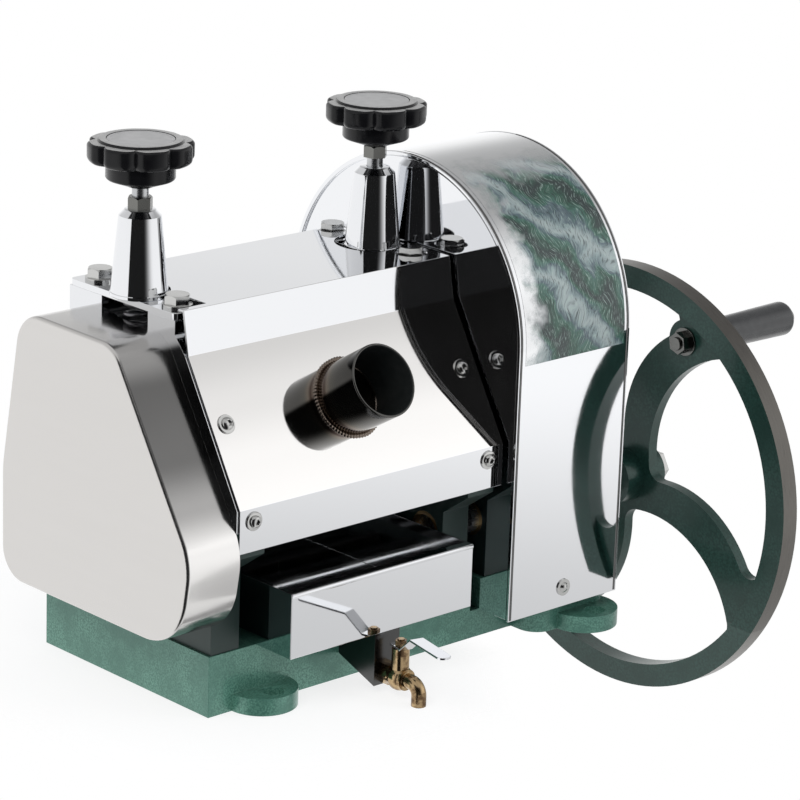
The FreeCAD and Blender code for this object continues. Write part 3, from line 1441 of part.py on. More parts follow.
# Fixed structure
export("base_casting", make_base())
export("left_frame", add_cover_ears(cut_panel_screw_holes(make_frame(left_frame_x))))
export("right_frame", cut_panel_screw_holes(
    make_frame(right_frame_x).cut(
        rod_x(right_frame_x - 1, right_frame_end_x + 1, drive_axis_y, drive_axis_z, drive_bush_radius)
    )
))
export("frame_foot_bolts", Part.makeCompound(make_foot_bolts().Solids + make_bracket_bolts()))
export("left_bearing_cap", make_cap(left_frame_x))
export("right_bearing_cap", make_cap(right_frame_x))
export("cap_bolts", make_cap_bolts())
export("left_screw_tower", make_tower(left_tower_x))
export("right_screw_tower", make_tower(right_tower_x))
export("left_lock_nut", make_lock_nut(left_tower_x, tower_top, screw_diameter / 2 + running_clearance))
export("front_panel", make_panel())
export("feed_tube", make_feed_tube())
export("panel_screws", make_panel_screws())
export("rear_guard", make_rear_guard())
export("outlet_chute", make_chute())
export("trash_plate", make_trash_plate())
export("left_gear_cover", make_left_cover())
export("arch_gear_cover", make_arch_cover())
export("gear_back_plate", make_back_plate())
export("back_plate_studs", make_back_plate_studs())
export("left_cover_screws", make_left_cover_screws())
export("arch_cover_screws", make_arch_cover_screws())
export("drive_bearing_bracket", make_drive_bracket())
bushes = [
    make_bush(right_frame_x, drive_axis_y, drive_axis_z, drive_bush_radius, drive_shaft_radius),
    make_bush(bracket_x, drive_axis_y, drive_axis_z, drive_bush_radius, drive_shaft_radius, bracket_thickness),
]
for bush_x in (left_frame_x, right_frame_x):
    bushes.append(make_bush(bush_x, front_roller_y, front_roller_z))
    bushes.append(make_bush(bush_x, rear_roller_y, rear_roller_z))
export("shaft_bushes", Part.makeCompound(bushes))

# Sprung carriage of the top roller
export("left_bearing_block", make_bearing_block(left_frame_x))
export("right_bearing_block", make_bearing_block(right_frame_x))
export("block_bushes", Part.makeCompound([
    make_bush(x0, tower_y, top_roller_z) for x0 in (left_frame_x, right_frame_x)
]))

# Top roller with its two gears
top_shaft_end_x = drive_gear_end_x + clip_thickness + 3
top_roller = make_roller(tower_y, top_roller_z, top_shaft_end_x, gear_seat_radius, drive_gear_x - 8)
top_roller = top_roller.cut(key_bar(drive_gear_x, drive_gear_end_x, tower_y, top_roller_z, gear_seat_radius))
top_roller = top_roller.cut(
    ring_x(drive_gear_end_x, drive_gear_end_x + clip_thickness, tower_y, top_roller_z, 20, gear_seat_radius - 2)
)
export("top_roller", top_roller)
export("top_roller_gear", make_roller_gear(tower_y, top_roller_z, top_tooth))
export("drive_gear", drive_train_gear(
    drive_gear_x, drive_gear_end_x, tower_y, top_roller_z, drive_gear_teeth, drive_gear_tooth,
    gear_seat_radius, gear_seat_radius + 12,
))
export("top_shaft_retainers", Part.makeCompound(
    make_roller_retainers(tower_y, top_roller_z).Solids + [
        key_bar(drive_gear_x, drive_gear_end_x, tower_y, top_roller_z, gear_seat_radius),
        make_clip(drive_gear_end_x, tower_y, top_roller_z, gear_seat_radius),
    ]
))

# Lower rollers
for name, y, z, tooth in (
    ("front", front_roller_y, front_roller_z, front_tooth),
    ("rear", rear_roller_y, rear_roller_z, rear_tooth),
):
    shaft_end = right_frame_end_x + 3
    export("%s_roller" % name, make_roller(y, z, shaft_end, journal_radius, shaft_end))
    export("%s_roller_gear" % name, make_roller_gear(y, z, tooth))
    export("%s_shaft_retainers" % name, make_roller_retainers(y, z))

# Handwheel drive
export("drive_shaft", make_drive_shaft())
export("drive_pinion", drive_train_gear(
    pinion_x, pinion_x + pinion_width, drive_axis_y, drive_axis_z, pinion_teeth, pinion_tooth,
    drive_shaft_radius, drive_shaft_radius + 30,
))
export("drive_shaft_fittings", make_drive_fittings())
export("handwheel", make_handwheel())
export("crank_bolt", make_crank_bolt())
export("handle_grip", make_grip())

# Roller pressure screws: the left lock nut rests on its tower, the right one is set against its knob
right_nut_z = knob_bottom_z - lock_nut_height - lock_nut_gap
export("right_lock_nut", make_lock_nut(right_tower_x, right_nut_z, screw_diameter / 2))
for side, x in (("left", left_tower_x), ("right", right_tower_x)):
    export("%s_pressure_screw" % side, make_pressure_screw(x))
    export("%s_knob" % side, make_knob(x))
    export("%s_knob_insert" % side, make_knob_insert(x))
    export("%s_spring_seat" % side, make_spring_seat(x))
    export("%s_pressure_spring" % side, coil_spring(
        x, tower_y, block_top_z, seat_bottom_z, spring_radius, spring_wire, spring_turns, 0.5
    ))

# Juice tray and tap
export("juice_tray", make_tray())
export("tray_outlet", make_outlet())
export("tap_body", make_tap_body())
export("tap_stem", make_tap_stem())
export("tap_lever", make_tap_lever())
export("tap_lever_nut", make_tap_nut())

print("nodes", len(EXPORTED))
print("front roller y %.2f z %.2f" % (front_roller_y, front_roller_z))
print("rear roller y %.2f z %.2f" % (rear_roller_y, rear_roller_z))
print("drive axis y %.2f z %.2f" % (drive_axis_y, drive_axis_z))
print("spring room from %.1f to %.1f" % (block_top_z, seat_bottom_z))
coil_pitch = (seat_bottom_z - block_top_z - spring_wire + 1.0) / spring_turns
print("least gap between the spring's turns %.2f" % (coil_pitch - spring_wire))
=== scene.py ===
# %% [markdown]
# A hand-cranked sugarcane juicer. Three ribbed rollers turn between two plated frames on a green
# casting. Polished sheets cover the rollers and the gears, and a spoked handwheel drives them.
# The solid model comes in first as a fixed frame. Every piece made here is in metres in that same
# frame, and rides on the body that carries it on the real machine.
# %% Load the frame
import json
import math
import bpy
from mathutils import Matrix, Vector

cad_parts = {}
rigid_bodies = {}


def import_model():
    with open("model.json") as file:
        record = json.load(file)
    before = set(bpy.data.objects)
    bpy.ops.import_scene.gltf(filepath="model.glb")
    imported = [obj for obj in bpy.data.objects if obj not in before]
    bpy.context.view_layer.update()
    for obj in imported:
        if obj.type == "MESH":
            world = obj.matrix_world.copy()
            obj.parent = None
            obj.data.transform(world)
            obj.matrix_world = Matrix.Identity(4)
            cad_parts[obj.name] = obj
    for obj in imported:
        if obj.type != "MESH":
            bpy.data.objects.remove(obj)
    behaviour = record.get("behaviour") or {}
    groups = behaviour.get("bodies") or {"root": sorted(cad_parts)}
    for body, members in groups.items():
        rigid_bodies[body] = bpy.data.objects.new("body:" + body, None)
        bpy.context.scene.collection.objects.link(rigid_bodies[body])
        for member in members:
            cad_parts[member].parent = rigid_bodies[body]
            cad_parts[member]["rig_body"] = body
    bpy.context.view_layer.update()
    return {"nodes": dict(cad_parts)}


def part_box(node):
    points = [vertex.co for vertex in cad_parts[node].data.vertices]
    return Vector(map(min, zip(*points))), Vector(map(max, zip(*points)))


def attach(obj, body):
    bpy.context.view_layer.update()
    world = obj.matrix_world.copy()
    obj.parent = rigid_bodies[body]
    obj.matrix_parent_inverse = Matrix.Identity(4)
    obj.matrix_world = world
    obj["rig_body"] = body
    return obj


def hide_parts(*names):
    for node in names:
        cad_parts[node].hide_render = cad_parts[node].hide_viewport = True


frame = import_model()
nodes = frame["nodes"]

# %% [markdown]
# Everything below is placed from a few stations of the solid model. Reading them from the nodes'
# boxes keeps the dressing in step with the solids: when a size changes there, it changes here.
# %% Stations read from the model
MM = 0.001
MERGE_REACH = 0.00002
LEAST_RADIUS_MM = 0.01
panel_run, panel_rise = 58.7, 97.9
panel_slope = math.atan2(panel_run, panel_rise)
panel_lean = math.pi / 2 - panel_slope
arch_low, arch_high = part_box("arch_gear_cover")
arch_middle = (arch_low + arch_high) / 2
arch_radius = (arch_high.y - arch_low.y) / 2
arch_center_z = arch_high.z - arch_radius
wheel_low, wheel_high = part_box("handwheel")
wheel_middle = (wheel_low + wheel_high) / 2
wheel_radius = (wheel_high.y - wheel_low.y) / 2
print("arch radius", round(arch_radius, 4), "wheel radius", round(wheel_radius, 4))

# %% [markdown]
# Operators act on whatever is selected, so small helpers keep that under control: they pick a
# single object, give it materials and smooth faces, and put its place into its mesh.
# %% Selection and finishing helpers


def pick(obj):
    """Make obj the only selected and active object."""
    bpy.ops.object.select_all(action="DESELECT")
    obj.select_set(True)
    bpy.context.view_layer.objects.active = obj
    return obj


def added(name, operator, **settings):
    """Add a primitive with nothing else selected, and name it."""
    bpy.ops.object.select_all(action="DESELECT")
    operator(**settings)
    piece = bpy.context.active_object
    piece.name = name
    return piece


def edit_all():
    """Go to edit mode with the whole mesh selected."""
    bpy.ops.object.mode_set(mode="EDIT")
    bpy.ops.mesh.select_all(action="SELECT")


def smooth(obj, degrees=40):
    """Smooth shading that keeps edges sharper than the angle."""
    pick(obj)
    bpy.ops.object.shade_smooth_by_angle(angle=math.radians(degrees))


def give(obj, material):
    obj.data.materials.clear()
    obj.data.materials.append(material)


def give_faces(obj, material, test):
    """A further material on the faces whose middle and normal pass the test."""
    obj.data.materials.append(material)
    slot = len(obj.data.materials) - 1
    chosen = [face for face in obj.data.polygons if test(face.center, face.normal)]
    for face in chosen:
        face.material_index = slot
    print(obj.name, material.name, "on", len(chosen), "faces")


def finished(piece, material, degrees, body):
    """Give a piece its material and smooth faces, and let it ride on its body."""
    give(piece, material)
    smooth(piece, degrees)
    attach(piece, body)


def apply_place(obj):
    """Put the object's place into its mesh, so that its origin is the frame's origin."""
    pick(obj)
    bpy.ops.object.transform_apply(location=True, rotation=True, scale=True)


def apply_modifiers(obj):
    pick(obj)
    for modifier in list(obj.modifiers):
        bpy.ops.object.modifier_apply(modifier=modifier.name)


print("helpers ready")

# %% [markdown]
# The solid model's edges are perfectly sharp, and a real edge never is: it is what catches the
# light. A copy of a node is merged, its flat areas are joined, and every sharp edge gets a narrow
# bevel. The bevel hardens its normals, so that flat polished faces stay flat in the reflections.
# %% Dressing a node


def dressed(node, width_mm, material, angle=35, segments=2):
    """A copy of a node with softened edges that stands for the node."""
    source = nodes[node]
    piece = bpy.data.objects.new("dressed_" + node, source.data.copy())
    bpy.context.scene.collection.objects.link(piece)
    pick(piece)
    if piece.data.has_custom_normals:
        bpy.ops.mesh.customdata_custom_splitnormals_clear()
    edit_all()
    bpy.ops.mesh.remove_doubles(threshold=MERGE_REACH)
    bpy.ops.mesh.dissolve_limited(angle_limit=math.radians(0.6), use_dissolve_boundaries=False)
    bpy.ops.object.mode_set(mode="OBJECT")
    bpy.ops.object.shade_smooth_by_angle(angle=math.radians(angle))
    bevel = piece.modifiers.new("soft_edges", "BEVEL")
    bevel.width = width_mm * MM
    bevel.segments = segments
    bevel.limit_method = "ANGLE"
    bevel.angle_limit = math.radians(angle)
    bevel.use_clamp_overlap = True
    bevel.harden_normals = True
    bevel.miter_outer = "MITER_ARC"
    apply_modifiers(piece)
    give(piece, material)
    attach(piece, source["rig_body"])
    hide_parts(node)
    return piece


print("dressing helper ready")

# %% [markdown]
# Turned pieces, such as the towers, the knobs and the feed tube, are drawn up ring by ring:
# a circle is extruded and resized at each station of the profile, as a potter pulls up clay.
# %% Turning a profile


def turned(name, stations, place, turn=(0, 0, 0), segments=96):
    """A closed turned piece. stations are (height, radius) in mm along its own upright axis."""
    first_height, first_radius = stations[0]
    piece = added(
        name, bpy.ops.mesh.primitive_circle_add, vertices=segments, radius=max(first_radius, LEAST_RADIUS_MM) * MM,
        fill_type="NGON", location=(0, 0, first_height * MM),
    )
    bpy.ops.object.transform_apply(location=True)
    edit_all()
    height, radius = first_height, max(first_radius, LEAST_RADIUS_MM)
    for next_height, next_radius in stations[1:]:
        next_radius = max(next_radius, LEAST_RADIUS_MM)
        bpy.ops.mesh.extrude_region_move(TRANSFORM_OT_translate={"value": (0, 0, (next_height - height) * MM)})
        scale = next_radius / radius
        bpy.ops.transform.resize(value=(scale, scale, 1), center_override=(0, 0, 0))
        height, radius = next_height, next_radius
    bpy.ops.mesh.select_all(action="SELECT")
    bpy.ops.mesh.normals_make_consistent(inside=False)
    bpy.ops.object.mode_set(mode="OBJECT")
    piece.matrix_world = Matrix.Translation(Vector(place)) @ Matrix.Rotation(turn[2], 4, "Z") @ Matrix.Rotation(
        turn[1], 4, "Y"
    ) @ Matrix.Rotation(turn[0], 4, "X")
    apply_place(piece)
    return piece


def arc_stations(center_height, center_radius, radius, start, end, steps=5):
    """Stations round a quarter or other arc of a profile, by angles in degrees."""
    stations = []
    for i in range(steps + 1):
        angle = math.radians(start + (end - start) * i / steps)
        stations.append((center_height + radius * math.sin(angle), center_radius + radius * math.cos(angle)))
    return stations


print("turning helper ready")

# %% [markdown]
# The camera stands at the front left, a little above the machine, far away behind a long lens, so
# that upright edges stay nearly parallel. Its matrix is written column by column: right, up, back.
# %% Camera
camera_data = bpy.data.cameras.new("camera")
camera_data.sensor_width = 36
camera_data.lens = 160.7
camera_data.clip_end = 50
camera = bpy.data.objects.new("camera", camera_data)
bpy.context.scene.collection.objects.link(camera)
right = Vector((0.7345, -0.6778, 0.0333)).normalized()
back = Vector((-0.6551, -0.6953, 0.2957)).normalized()
up = back.cross(right).normalized()
right = up.cross(back)
turn_matrix = Matrix((right, up, back)).transposed().to_4x4()
camera.matrix_world = Matrix.Translation((-1.7071, -1.8910, 0.9677)) @ turn_matrix
bpy.context.scene.camera = camera
bpy.context.scene.view_settings.view_transform = "Standard"
print("camera at", tuple(round(v, 3) for v in camera.location))

# %% [markdown]
# Polished steel shows the room more than itself. The room is a white tent, greyer overhead and
# towards the rear right, with a dark opening on the camera's side: sharp on its left and fading
# out to the right. It gives the black stripes in the towers and panels. The world shader answers
# camera rays with plain white, mirror rays with the tent, and the rest evenly.
# %% The tent as a world
world = bpy.data.worlds.new("tent")
bpy.context.scene.world = world
world.use_nodes = True
tree = world.node_tree
tree.nodes.clear()


def add_node(tree, kind, inputs=None, **values):
    """Add a node. inputs hold sockets or constants by name, and values hold plain properties."""
    node = tree.nodes.new(kind)
    for key, value in values.items():
        setattr(node, key, value)
    for label, value in (inputs or {}).items():
        if hasattr(value, "is_linked"):
            tree.links.new(value, node.inputs[label])
        else:
            node.inputs[label].default_value = value
    return node


def math_node(tree, operation, *operands):
    """A Math node whose operands are sockets or numbers."""
    return add_node(tree, "ShaderNodeMath", dict(enumerate(operands)), operation=operation).outputs[0]


def ramp(tree, value, low, high, to_low=0.0, to_high=1.0, kind="SMOOTHSTEP"):
    """A step of a value between two limits."""
    limits = {"Value": value, "From Min": low, "From Max": high, "To Min": to_low, "To Max": to_high}
    return add_node(tree, "ShaderNodeMapRange", limits, interpolation_type=kind).outputs["Result"]


def noise(tree, place, scale, detail, roughness=0.5):
    """A noise value at a place."""
    inputs = {"Vector": place, "Scale": scale, "Detail": detail, "Roughness": roughness}
    return add_node(tree, "ShaderNodeTexNoise", inputs).outputs["Fac"]


def object_place(tree):
    return add_node(tree, "ShaderNodeTexCoord").outputs["Object"]


def object_axes(tree):
    return add_node(tree, "ShaderNodeSeparateXYZ", {0: object_place(tree)}).outputs


direction = add_node(tree, "ShaderNodeTexCoord").outputs["Generated"]
axes = add_node(tree, "ShaderNodeSeparateXYZ", {0: direction}).outputs
flat_x = math_node(tree, "MULTIPLY", axes["X"], axes["X"])
flat_y = math_node(tree, "MULTIPLY", axes["Y"], axes["Y"])
flat = math_node(tree, "SQRT", math_node(tree, "ADD", math_node(tree, "ADD", flat_x, flat_y), 0.0001))


def toward(azimuth):
    """How far a direction lies towards a compass angle, as a cosine."""
    angle = math.radians(azimuth)
    along_x = math_node(tree, "MULTIPLY", axes["X"], math.cos(angle))
    along_y = math_node(tree, "MULTIPLY", axes["Y"], math.sin(angle))
    return math_node(tree, "DIVIDE", math_node(tree, "ADD", along_x, along_y), flat)


def patch(azimuth, outer, inner, low, high, from_level, to_level):
    """A soft patch of the tent: full within inner degrees of the azimuth, with a level over height."""
    spread = ramp(tree, toward(azimuth), math.cos(math.radians(outer)), math.cos(math.radians(inner)))
    return math_node(tree, "MULTIPLY", spread, ramp(tree, axes["Z"], low, high, from_level, to_level))


side = math_node(tree, "ARCTAN2", toward(-42.1), toward(-132.1))
opening = math_node(
    tree, "MULTIPLY", ramp(tree, side, math.radians(-42), math.radians(-40)),
    ramp(tree, side, math.radians(16), math.radians(74), 1.0, 0.0),
)
dark = math_node(tree, "MULTIPLY", opening, ramp(tree, axes["Z"], 0.60, 0.78, 1.0, 0.0))
dark = math_node(tree, "MAXIMUM", dark, patch(-20, 12, 8, 0.05, 0.15, 0.6, 0.0))
overhead = ramp(tree, axes["Z"], 0.0, 0.65, 1.06, 0.70)
strip = patch(-42, 34, 14, 0.1, 0.35, 0.0, 0.28)
strip = math_node(tree, "MULTIPLY", strip, ramp(tree, axes["Z"], 0.55, 0.75, 1.0, 0.0))
behind = patch(30, 75, 35, 0.15, 0.45, 0.0, -0.26)
tent = math_node(tree, "ADD", math_node(tree, "ADD", overhead, strip), behind)
glossy_level = math_node(tree, "MULTIPLY", tent, ramp(tree, dark, 0.0, 1.0, 1.0, 0.012))
print("tent directions ready")

# %% World outputs
light_path = add_node(tree, "ShaderNodeLightPath").outputs
glossy = add_node(tree, "ShaderNodeBackground", {"Color": glossy_level})
even = add_node(tree, "ShaderNodeBackground", {"Color": (0.93, 0.96, 1.0, 1), "Strength": 0.62})
white = add_node(tree, "ShaderNodeBackground", {"Color": (1, 1, 1, 1)})
mirror_rays = math_node(tree, "MAXIMUM", light_path["Is Glossy Ray"], light_path["Is Transmission Ray"])
first_mix = add_node(tree, "ShaderNodeMixShader", {0: mirror_rays, 1: even.outputs[0], 2: glossy.outputs[0]})
last_mix = add_node(
    tree, "ShaderNodeMixShader", {0: light_path["Is Camera Ray"], 1: first_mix.outputs[0], 2: white.outputs[0]}
)
add_node(tree, "ShaderNodeOutputWorld", {"Surface": last_mix.outputs[0]})
print("world ready")

# %% [markdown]
# Two large soft lamps shape the painted and plastic parts: a key high on the left and a weaker
# fill from the right. They are hidden from mirror rays, where the tent does their work.
# %% Lamps


def soft_lamp(name, place, target, size, watts, tint):
    data = bpy.data.lights.new(name, "AREA")
    data.shape = "RECTANGLE"
    data.size = size[0]
    data.size_y = size[1]
    data.energy = watts
    data.color = tint
    lamp = bpy.data.objects.new(name, data)
    bpy.context.scene.collection.objects.link(lamp)
    lamp.location = place
    aim = Vector(target) - Vector(place)
    lamp.rotation_euler = aim.to_track_quat("-Z", "Y").to_euler()
    lamp.visible_glossy = False
    return lamp


key = soft_lamp("key", (-1.6, -0.7, 1.7), (0, 0, 0.15), (1.4, 1.0), 20, (1.0, 0.98, 0.95))
fill = soft_lamp("fill", (1.5, -1.7, 1.0), (0, 0, 0.15), (1.0, 1.4), 9, (0.94, 0.97, 1.0))
print("lamps", key.name, fill.name)

# %% [markdown]
# The machine stands on a white table top. The wheel reaches below the base, so the table ends
# short of it: round the base it takes the soft shadow, and farther out it clears to the white
# background. Half lit and half plain white, it stays white where no shadow falls.
# %% Table
base_low, base_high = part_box("base_casting")
table = added("white_table", bpy.ops.mesh.primitive_plane_add, size=1.4, location=(0, 0, -0.0004))
apply_place(table)


def empty_material(name):
    """A material without any shader yet, and its tree."""
    material = bpy.data.materials.new(name)
    material.use_nodes = True
    material.node_tree.nodes.clear()
    return material, material.node_tree


table_material, table_tree = empty_material("white_table")
table_axes = object_axes(table_tree)
away = 0.0
for axis, sign, start_at, width in (
    ("X", 1, -0.02, 0.10), ("X", -1, -base_low.x, 0.16),
    ("Y", -1, -base_low.y - 0.02, 0.12), ("Y", 1, base_high.y, 0.16),
):
    past = math_node(table_tree, "MULTIPLY_ADD", table_axes[axis], sign / width, -start_at / width)
    away = math_node(table_tree, "ADD", math_node(table_tree, "MAXIMUM", past, 0.0), away)
paper = add_node(table_tree, "ShaderNodeBsdfDiffuse", {"Color": (0.9, 0.9, 0.9, 1)})
glow = add_node(table_tree, "ShaderNodeEmission", {"Color": (1, 1, 1, 1), "Strength": 1.1})
clear = add_node(table_tree, "ShaderNodeBsdfTransparent")
table_mix = add_node(table_tree, "ShaderNodeMixShader", {0: 0.72, 1: paper.outputs[0], 2: glow.outputs[0]})
clear_mix = add_node(
    table_tree, "ShaderNodeMixShader",
    {0: ramp(table_tree, away, 0.4, 1.0), 1: table_mix.outputs[0], 2: clear.outputs[0]},
)
add_node(table_tree, "ShaderNodeOutputMaterial", {"Surface": clear_mix.outputs[0]})
give(table, table_material)
table.visible_glossy = False
print("table material nodes", len(table_tree.nodes))

# %% [markdown]
# The upright polished faces look down at the table top in front of the machine. A card that only
# mirror rays see stands in for it: a little grey near the base, where the machine shades the
# table, and white farther out. It grades the tray, the lower panel and the arch's band.
# %% Card for the reflections
card_way = math.radians(-46.7)
card_out = 0.58
card = added("reflection_card", bpy.ops.mesh.primitive_plane_add, size=1)
card.scale = (1.0, 0.52, 1)
card.rotation_euler = (0, 0, card_way)
card.location = (card_out * math.cos(card_way), card_out * math.sin(card_way), 0)
apply_place(card)
card_material, card_tree = empty_material("reflection_card")
card_axis = (math.cos(card_way), math.sin(card_way), 0)
card_reach = add_node(
    card_tree, "ShaderNodeVectorMath", {0: object_place(card_tree), 1: card_axis}, operation="DOT_PRODUCT"
)
card_level = ramp(card_tree, card_reach.outputs["Value"], 0.10, 0.95, 0.68, 1.12)
card_glow = add_node(card_tree, "ShaderNodeEmission", {"Color": card_level})
add_node(card_tree, "ShaderNodeOutputMaterial", {"Surface": card_glow.outputs[0]})
give(card, card_material)
for visibility in ("camera", "diffuse", "transmission", "volume_scatter", "shadow"):
    setattr(card, "visible_" + visibility, False)
print("card from", tuple(round(v, 2) for v in card.data.vertices[0].co))

# %% [markdown]
# Effects that several finishes share are node groups, built once. Each has named inputs for size
# and strength, and gives out only what changes over the surface.
# %% Group helper


def new_group(name, inputs, outputs):
    """A shader node group with number inputs and the outputs named."""
    group = bpy.data.node_groups.new(name, "ShaderNodeTree")
    for label, value in inputs:
        socket = group.interface.new_socket(label, in_out="INPUT", socket_type="NodeSocketFloat")
        socket.default_value = value
    for label, kind in outputs:
        group.interface.new_socket(label, in_out="OUTPUT", socket_type=kind)
    start = group.nodes.new("NodeGroupInput")
    end = group.nodes.new("NodeGroupOutput")
    return group, start, end


FLOAT = "NodeSocketFloat"
print("group helper ready")

# %% [markdown]
# Polished sheet is never quite flat or clean. A slow swell bends its reflections a little, and a
# faint film from wiping changes its gloss. The swell goes to the bump, the film to the roughness.
# %% Group: polished sheet
polish, start, end = new_group(
    "polished_sheet",
    [("Swell Size", 6.0), ("Film Size", 26.0), ("Gloss Low", 0.03), ("Gloss High", 0.09)],
    [("Height", FLOAT), ("Roughness", FLOAT)],
)
where = object_place(polish)
film = noise(polish, where, start.outputs["Film Size"], 5.0, 0.62)
gloss = ramp(polish, film, 0.35, 0.75, start.outputs["Gloss Low"], start.outputs["Gloss High"], "LINEAR")
polish.links.new(noise(polish, where, start.outputs["Swell Size"], 0.0), end.inputs["Height"])
polish.links.new(gloss, end.inputs["Roughness"])
print("group", polish.name)

# %% [markdown]
# Brushed and turned metal has fine parallel scratches. Noise that is stretched hard along one
# direction gives them, and it drives a fine bump, the roughness and a slight change of tint.
# %% Group: fine scratches
scratches, start, end = new_group(
    "fine_scratches",
    [("Along X", 1.0), ("Along Y", 1.0), ("Along Z", 1.0), ("Size", 60.0), ("Gloss Low", 0.22), ("Gloss High", 0.34)],
    [("Height", FLOAT), ("Roughness", FLOAT), ("Streak", FLOAT)],
)
stretch = add_node(scratches, "ShaderNodeCombineXYZ", {axis: start.outputs["Along " + axis] for axis in "XYZ"})
scaled = add_node(
    scratches, "ShaderNodeVectorMath", {0: object_place(scratches), 1: stretch.outputs[0]}, operation="MULTIPLY"
)
streak = noise(scratches, scaled.outputs[0], start.outputs["Size"], 6.0, 0.7)
gloss = ramp(scratches, streak, 0.3, 0.7, start.outputs["Gloss Low"], start.outputs["Gloss High"], "LINEAR")
scratches.links.new(streak, end.inputs["Height"])
scratches.links.new(streak, end.inputs["Streak"])
scratches.links.new(gloss, end.inputs["Roughness"])
print("group", scratches.name)

# %% [markdown]
# Hammered enamel dries in small round dimples with a darker web between them. Smooth Voronoi cells
# about 2 mm wide give the dimples, and a finer noise breaks them up.
# %% Group: hammered enamel
hammered, start, end = new_group(
    "hammered_enamel",
    [("Cell Size", 420.0), ("Grit Size", 1500.0)],
    [("Height", FLOAT), ("Web", FLOAT), ("Mottle", FLOAT)],
)
where = object_place(hammered)
cells = add_node(
    hammered, "ShaderNodeTexVoronoi", {"Smoothness": 0.6, "Vector": where, "Scale": start.outputs["Cell Size"]},
    feature="SMOOTH_F1",
).outputs["Distance"]
grit = noise(hammered, where, start.outputs["Grit Size"], 4.0)
hammered.links.new(math_node(hammered, "MULTIPLY_ADD", grit, 0.35, cells), end.inputs["Height"])
hammered.links.new(ramp(hammered, cells, 0.25, 0.75), end.inputs["Web"])
hammered.links.new(noise(hammered, where, 38.0, 6.0, 0.65), end.inputs["Mottle"])
print("group", hammered.name)

# %% [markdown]
# Each finish is a material with one Principled shader. Constants are set on the shader's own
# sockets, and the groups feed what varies. This helper starts a material and places a group in it.
# %% Material helpers


def new_finish(name, color, metallic, roughness, **sockets):
    """A Principled material with its constants set. Returns the material, its tree and its shader."""
    material = bpy.data.materials.new(name)
    material.use_nodes = True
    tree = material.node_tree
    shader = tree.nodes["Principled BSDF"]
    shader.inputs["Base Color"].default_value = (*color, 1)
    shader.inputs["Metallic"].default_value = metallic
    shader.inputs["Roughness"].default_value = roughness
    for label, value in sockets.items():
        shader.inputs[label.replace("_", " ")].default_value = value
    return material, tree, shader


def use_group(tree, group, **values):
    node = add_node(tree, "ShaderNodeGroup", node_tree=group)
    for label, value in values.items():
        node.inputs[label.replace("_", " ")].default_value = value
    return node


def bump(tree, shader, height, strength, distance_mm):
    inputs = {"Strength": strength, "Distance": distance_mm * MM, "Height": height}
    tree.links.new(add_node(tree, "ShaderNodeBump", inputs).outputs["Normal"], shader.inputs["Normal"])


def polish_on(tree, shader, swell_size, film_size, low, high, strength, depth):
    """Put the polished sheet's gloss and swell on a shader. Returns the group's outputs."""
    group = use_group(
        tree, polish, Swell_Size=swell_size, Film_Size=film_size, Gloss_Low=low, Gloss_High=high
    ).outputs
    tree.links.new(group["Roughness"], shader.inputs["Roughness"])
    bump(tree, shader, group["Height"], strength, depth)
    return group


def mix_color(tree, factor, first, second):
    """A colour mix whose inputs are sockets or colours."""
    first, second = (color if hasattr(color, "is_linked") else (*color, 1) for color in (first, second))
    return add_node(tree, "ShaderNodeMix", {"Factor": factor, 6: first, 7: second}, data_type="RGBA").outputs[2]


def color_ramp(tree, factor, stops, interpolation="LINEAR"):
    """A colour over a factor. stops are (position, colour), from the first at 0 to the last at 1."""
    node = add_node(tree, "ShaderNodeValToRGB", {"Fac": factor})
    node.color_ramp.interpolation = interpolation
    elements = node.color_ramp.elements
    for position, color in stops[1:-1]:
        elements.new(position)
    for element, (position, color) in zip(elements, stops):
        element.color = (*color, 1)
    return node.outputs["Color"]


print("material helpers ready")

# %% [markdown]
# Polished stainless sheet: a bright metal with very low roughness, the slow swell and the film.
# The plated castings use the same group with a finer swell, because a casting is less even.
# %% Polished and plated steel


def polished_finish(name, color, swell_size, swell, low, high):
    material, tree, shader = new_finish(name, color, 1.0, 0.05)
    polish_on(tree, shader, swell_size, 24.0, low, high, 1.0, swell)
    return material


polished_steel = polished_finish("polished_steel", (0.84, 0.85, 0.87), 7.0, 0.35, 0.025, 0.075)
plated_casting = polished_finish("plated_casting", (0.80, 0.81, 0.83), 22.0, 0.12, 0.03, 0.08)
bright_fastener = polished_finish("bright_fastener", (0.56, 0.56, 0.55), 90.0, 0.10, 0.12, 0.24)
# Dark steel for the front of the arch's rim beads: its dark colour is a painted reflection of the dark opening.
rim_painted_reflection = polished_finish("rim_painted_reflection", (0.15, 0.15, 0.15), 60.0, 0.05, 0.10, 0.18)
# Near-black steel for the tray's outlet: its darkness is painted shade, where the outlet lies in shade under the tray.
outlet_painted_shade = polished_finish("outlet_painted_shade", (0.10, 0.10, 0.10), 40.0, 0.05, 0.20, 0.34)
dull_fastener = polished_finish("dull_fastener", (0.19, 0.19, 0.18), 90.0, 0.12, 0.20, 0.32)
print(polished_steel.name, plated_casting.name, bright_fastener.name, dull_fastener.name)

# %% [markdown]
# Two sheets carry painted reflection in their colour and are not equally bright all over: the panel's slope
# is painted duller near its upper bend, and the side band of the narrow gear cover has a painted dark reflection
# along its slope that clears towards the round below. Both take their tone from the height.
# %% Painted reflection on sheet


def painted_reflection_finish(name, stops, swell_size, swell, low, high):
    """Polished steel with a painted reflection: its tone is a ramp over height. stops are (height in mm, grey)."""
    material, tree, shader = new_finish(name, (0.8, 0.8, 0.8), 1.0, 0.1)
    polish_on(tree, shader, swell_size, 24.0, low, high, 1.0, swell)
    low_z, high_z = stops[0][0], stops[-1][0]
    height = ramp(tree, object_axes(tree)["Z"], low_z * MM, high_z * MM, kind="LINEAR")
    tones = [((z - low_z) / (high_z - low_z), (grey, grey * 0.985, grey * 0.97)) for z, grey in stops]
    tree.links.new(color_ramp(tree, height, tones, "EASE"), shader.inputs["Base Color"])
    return material


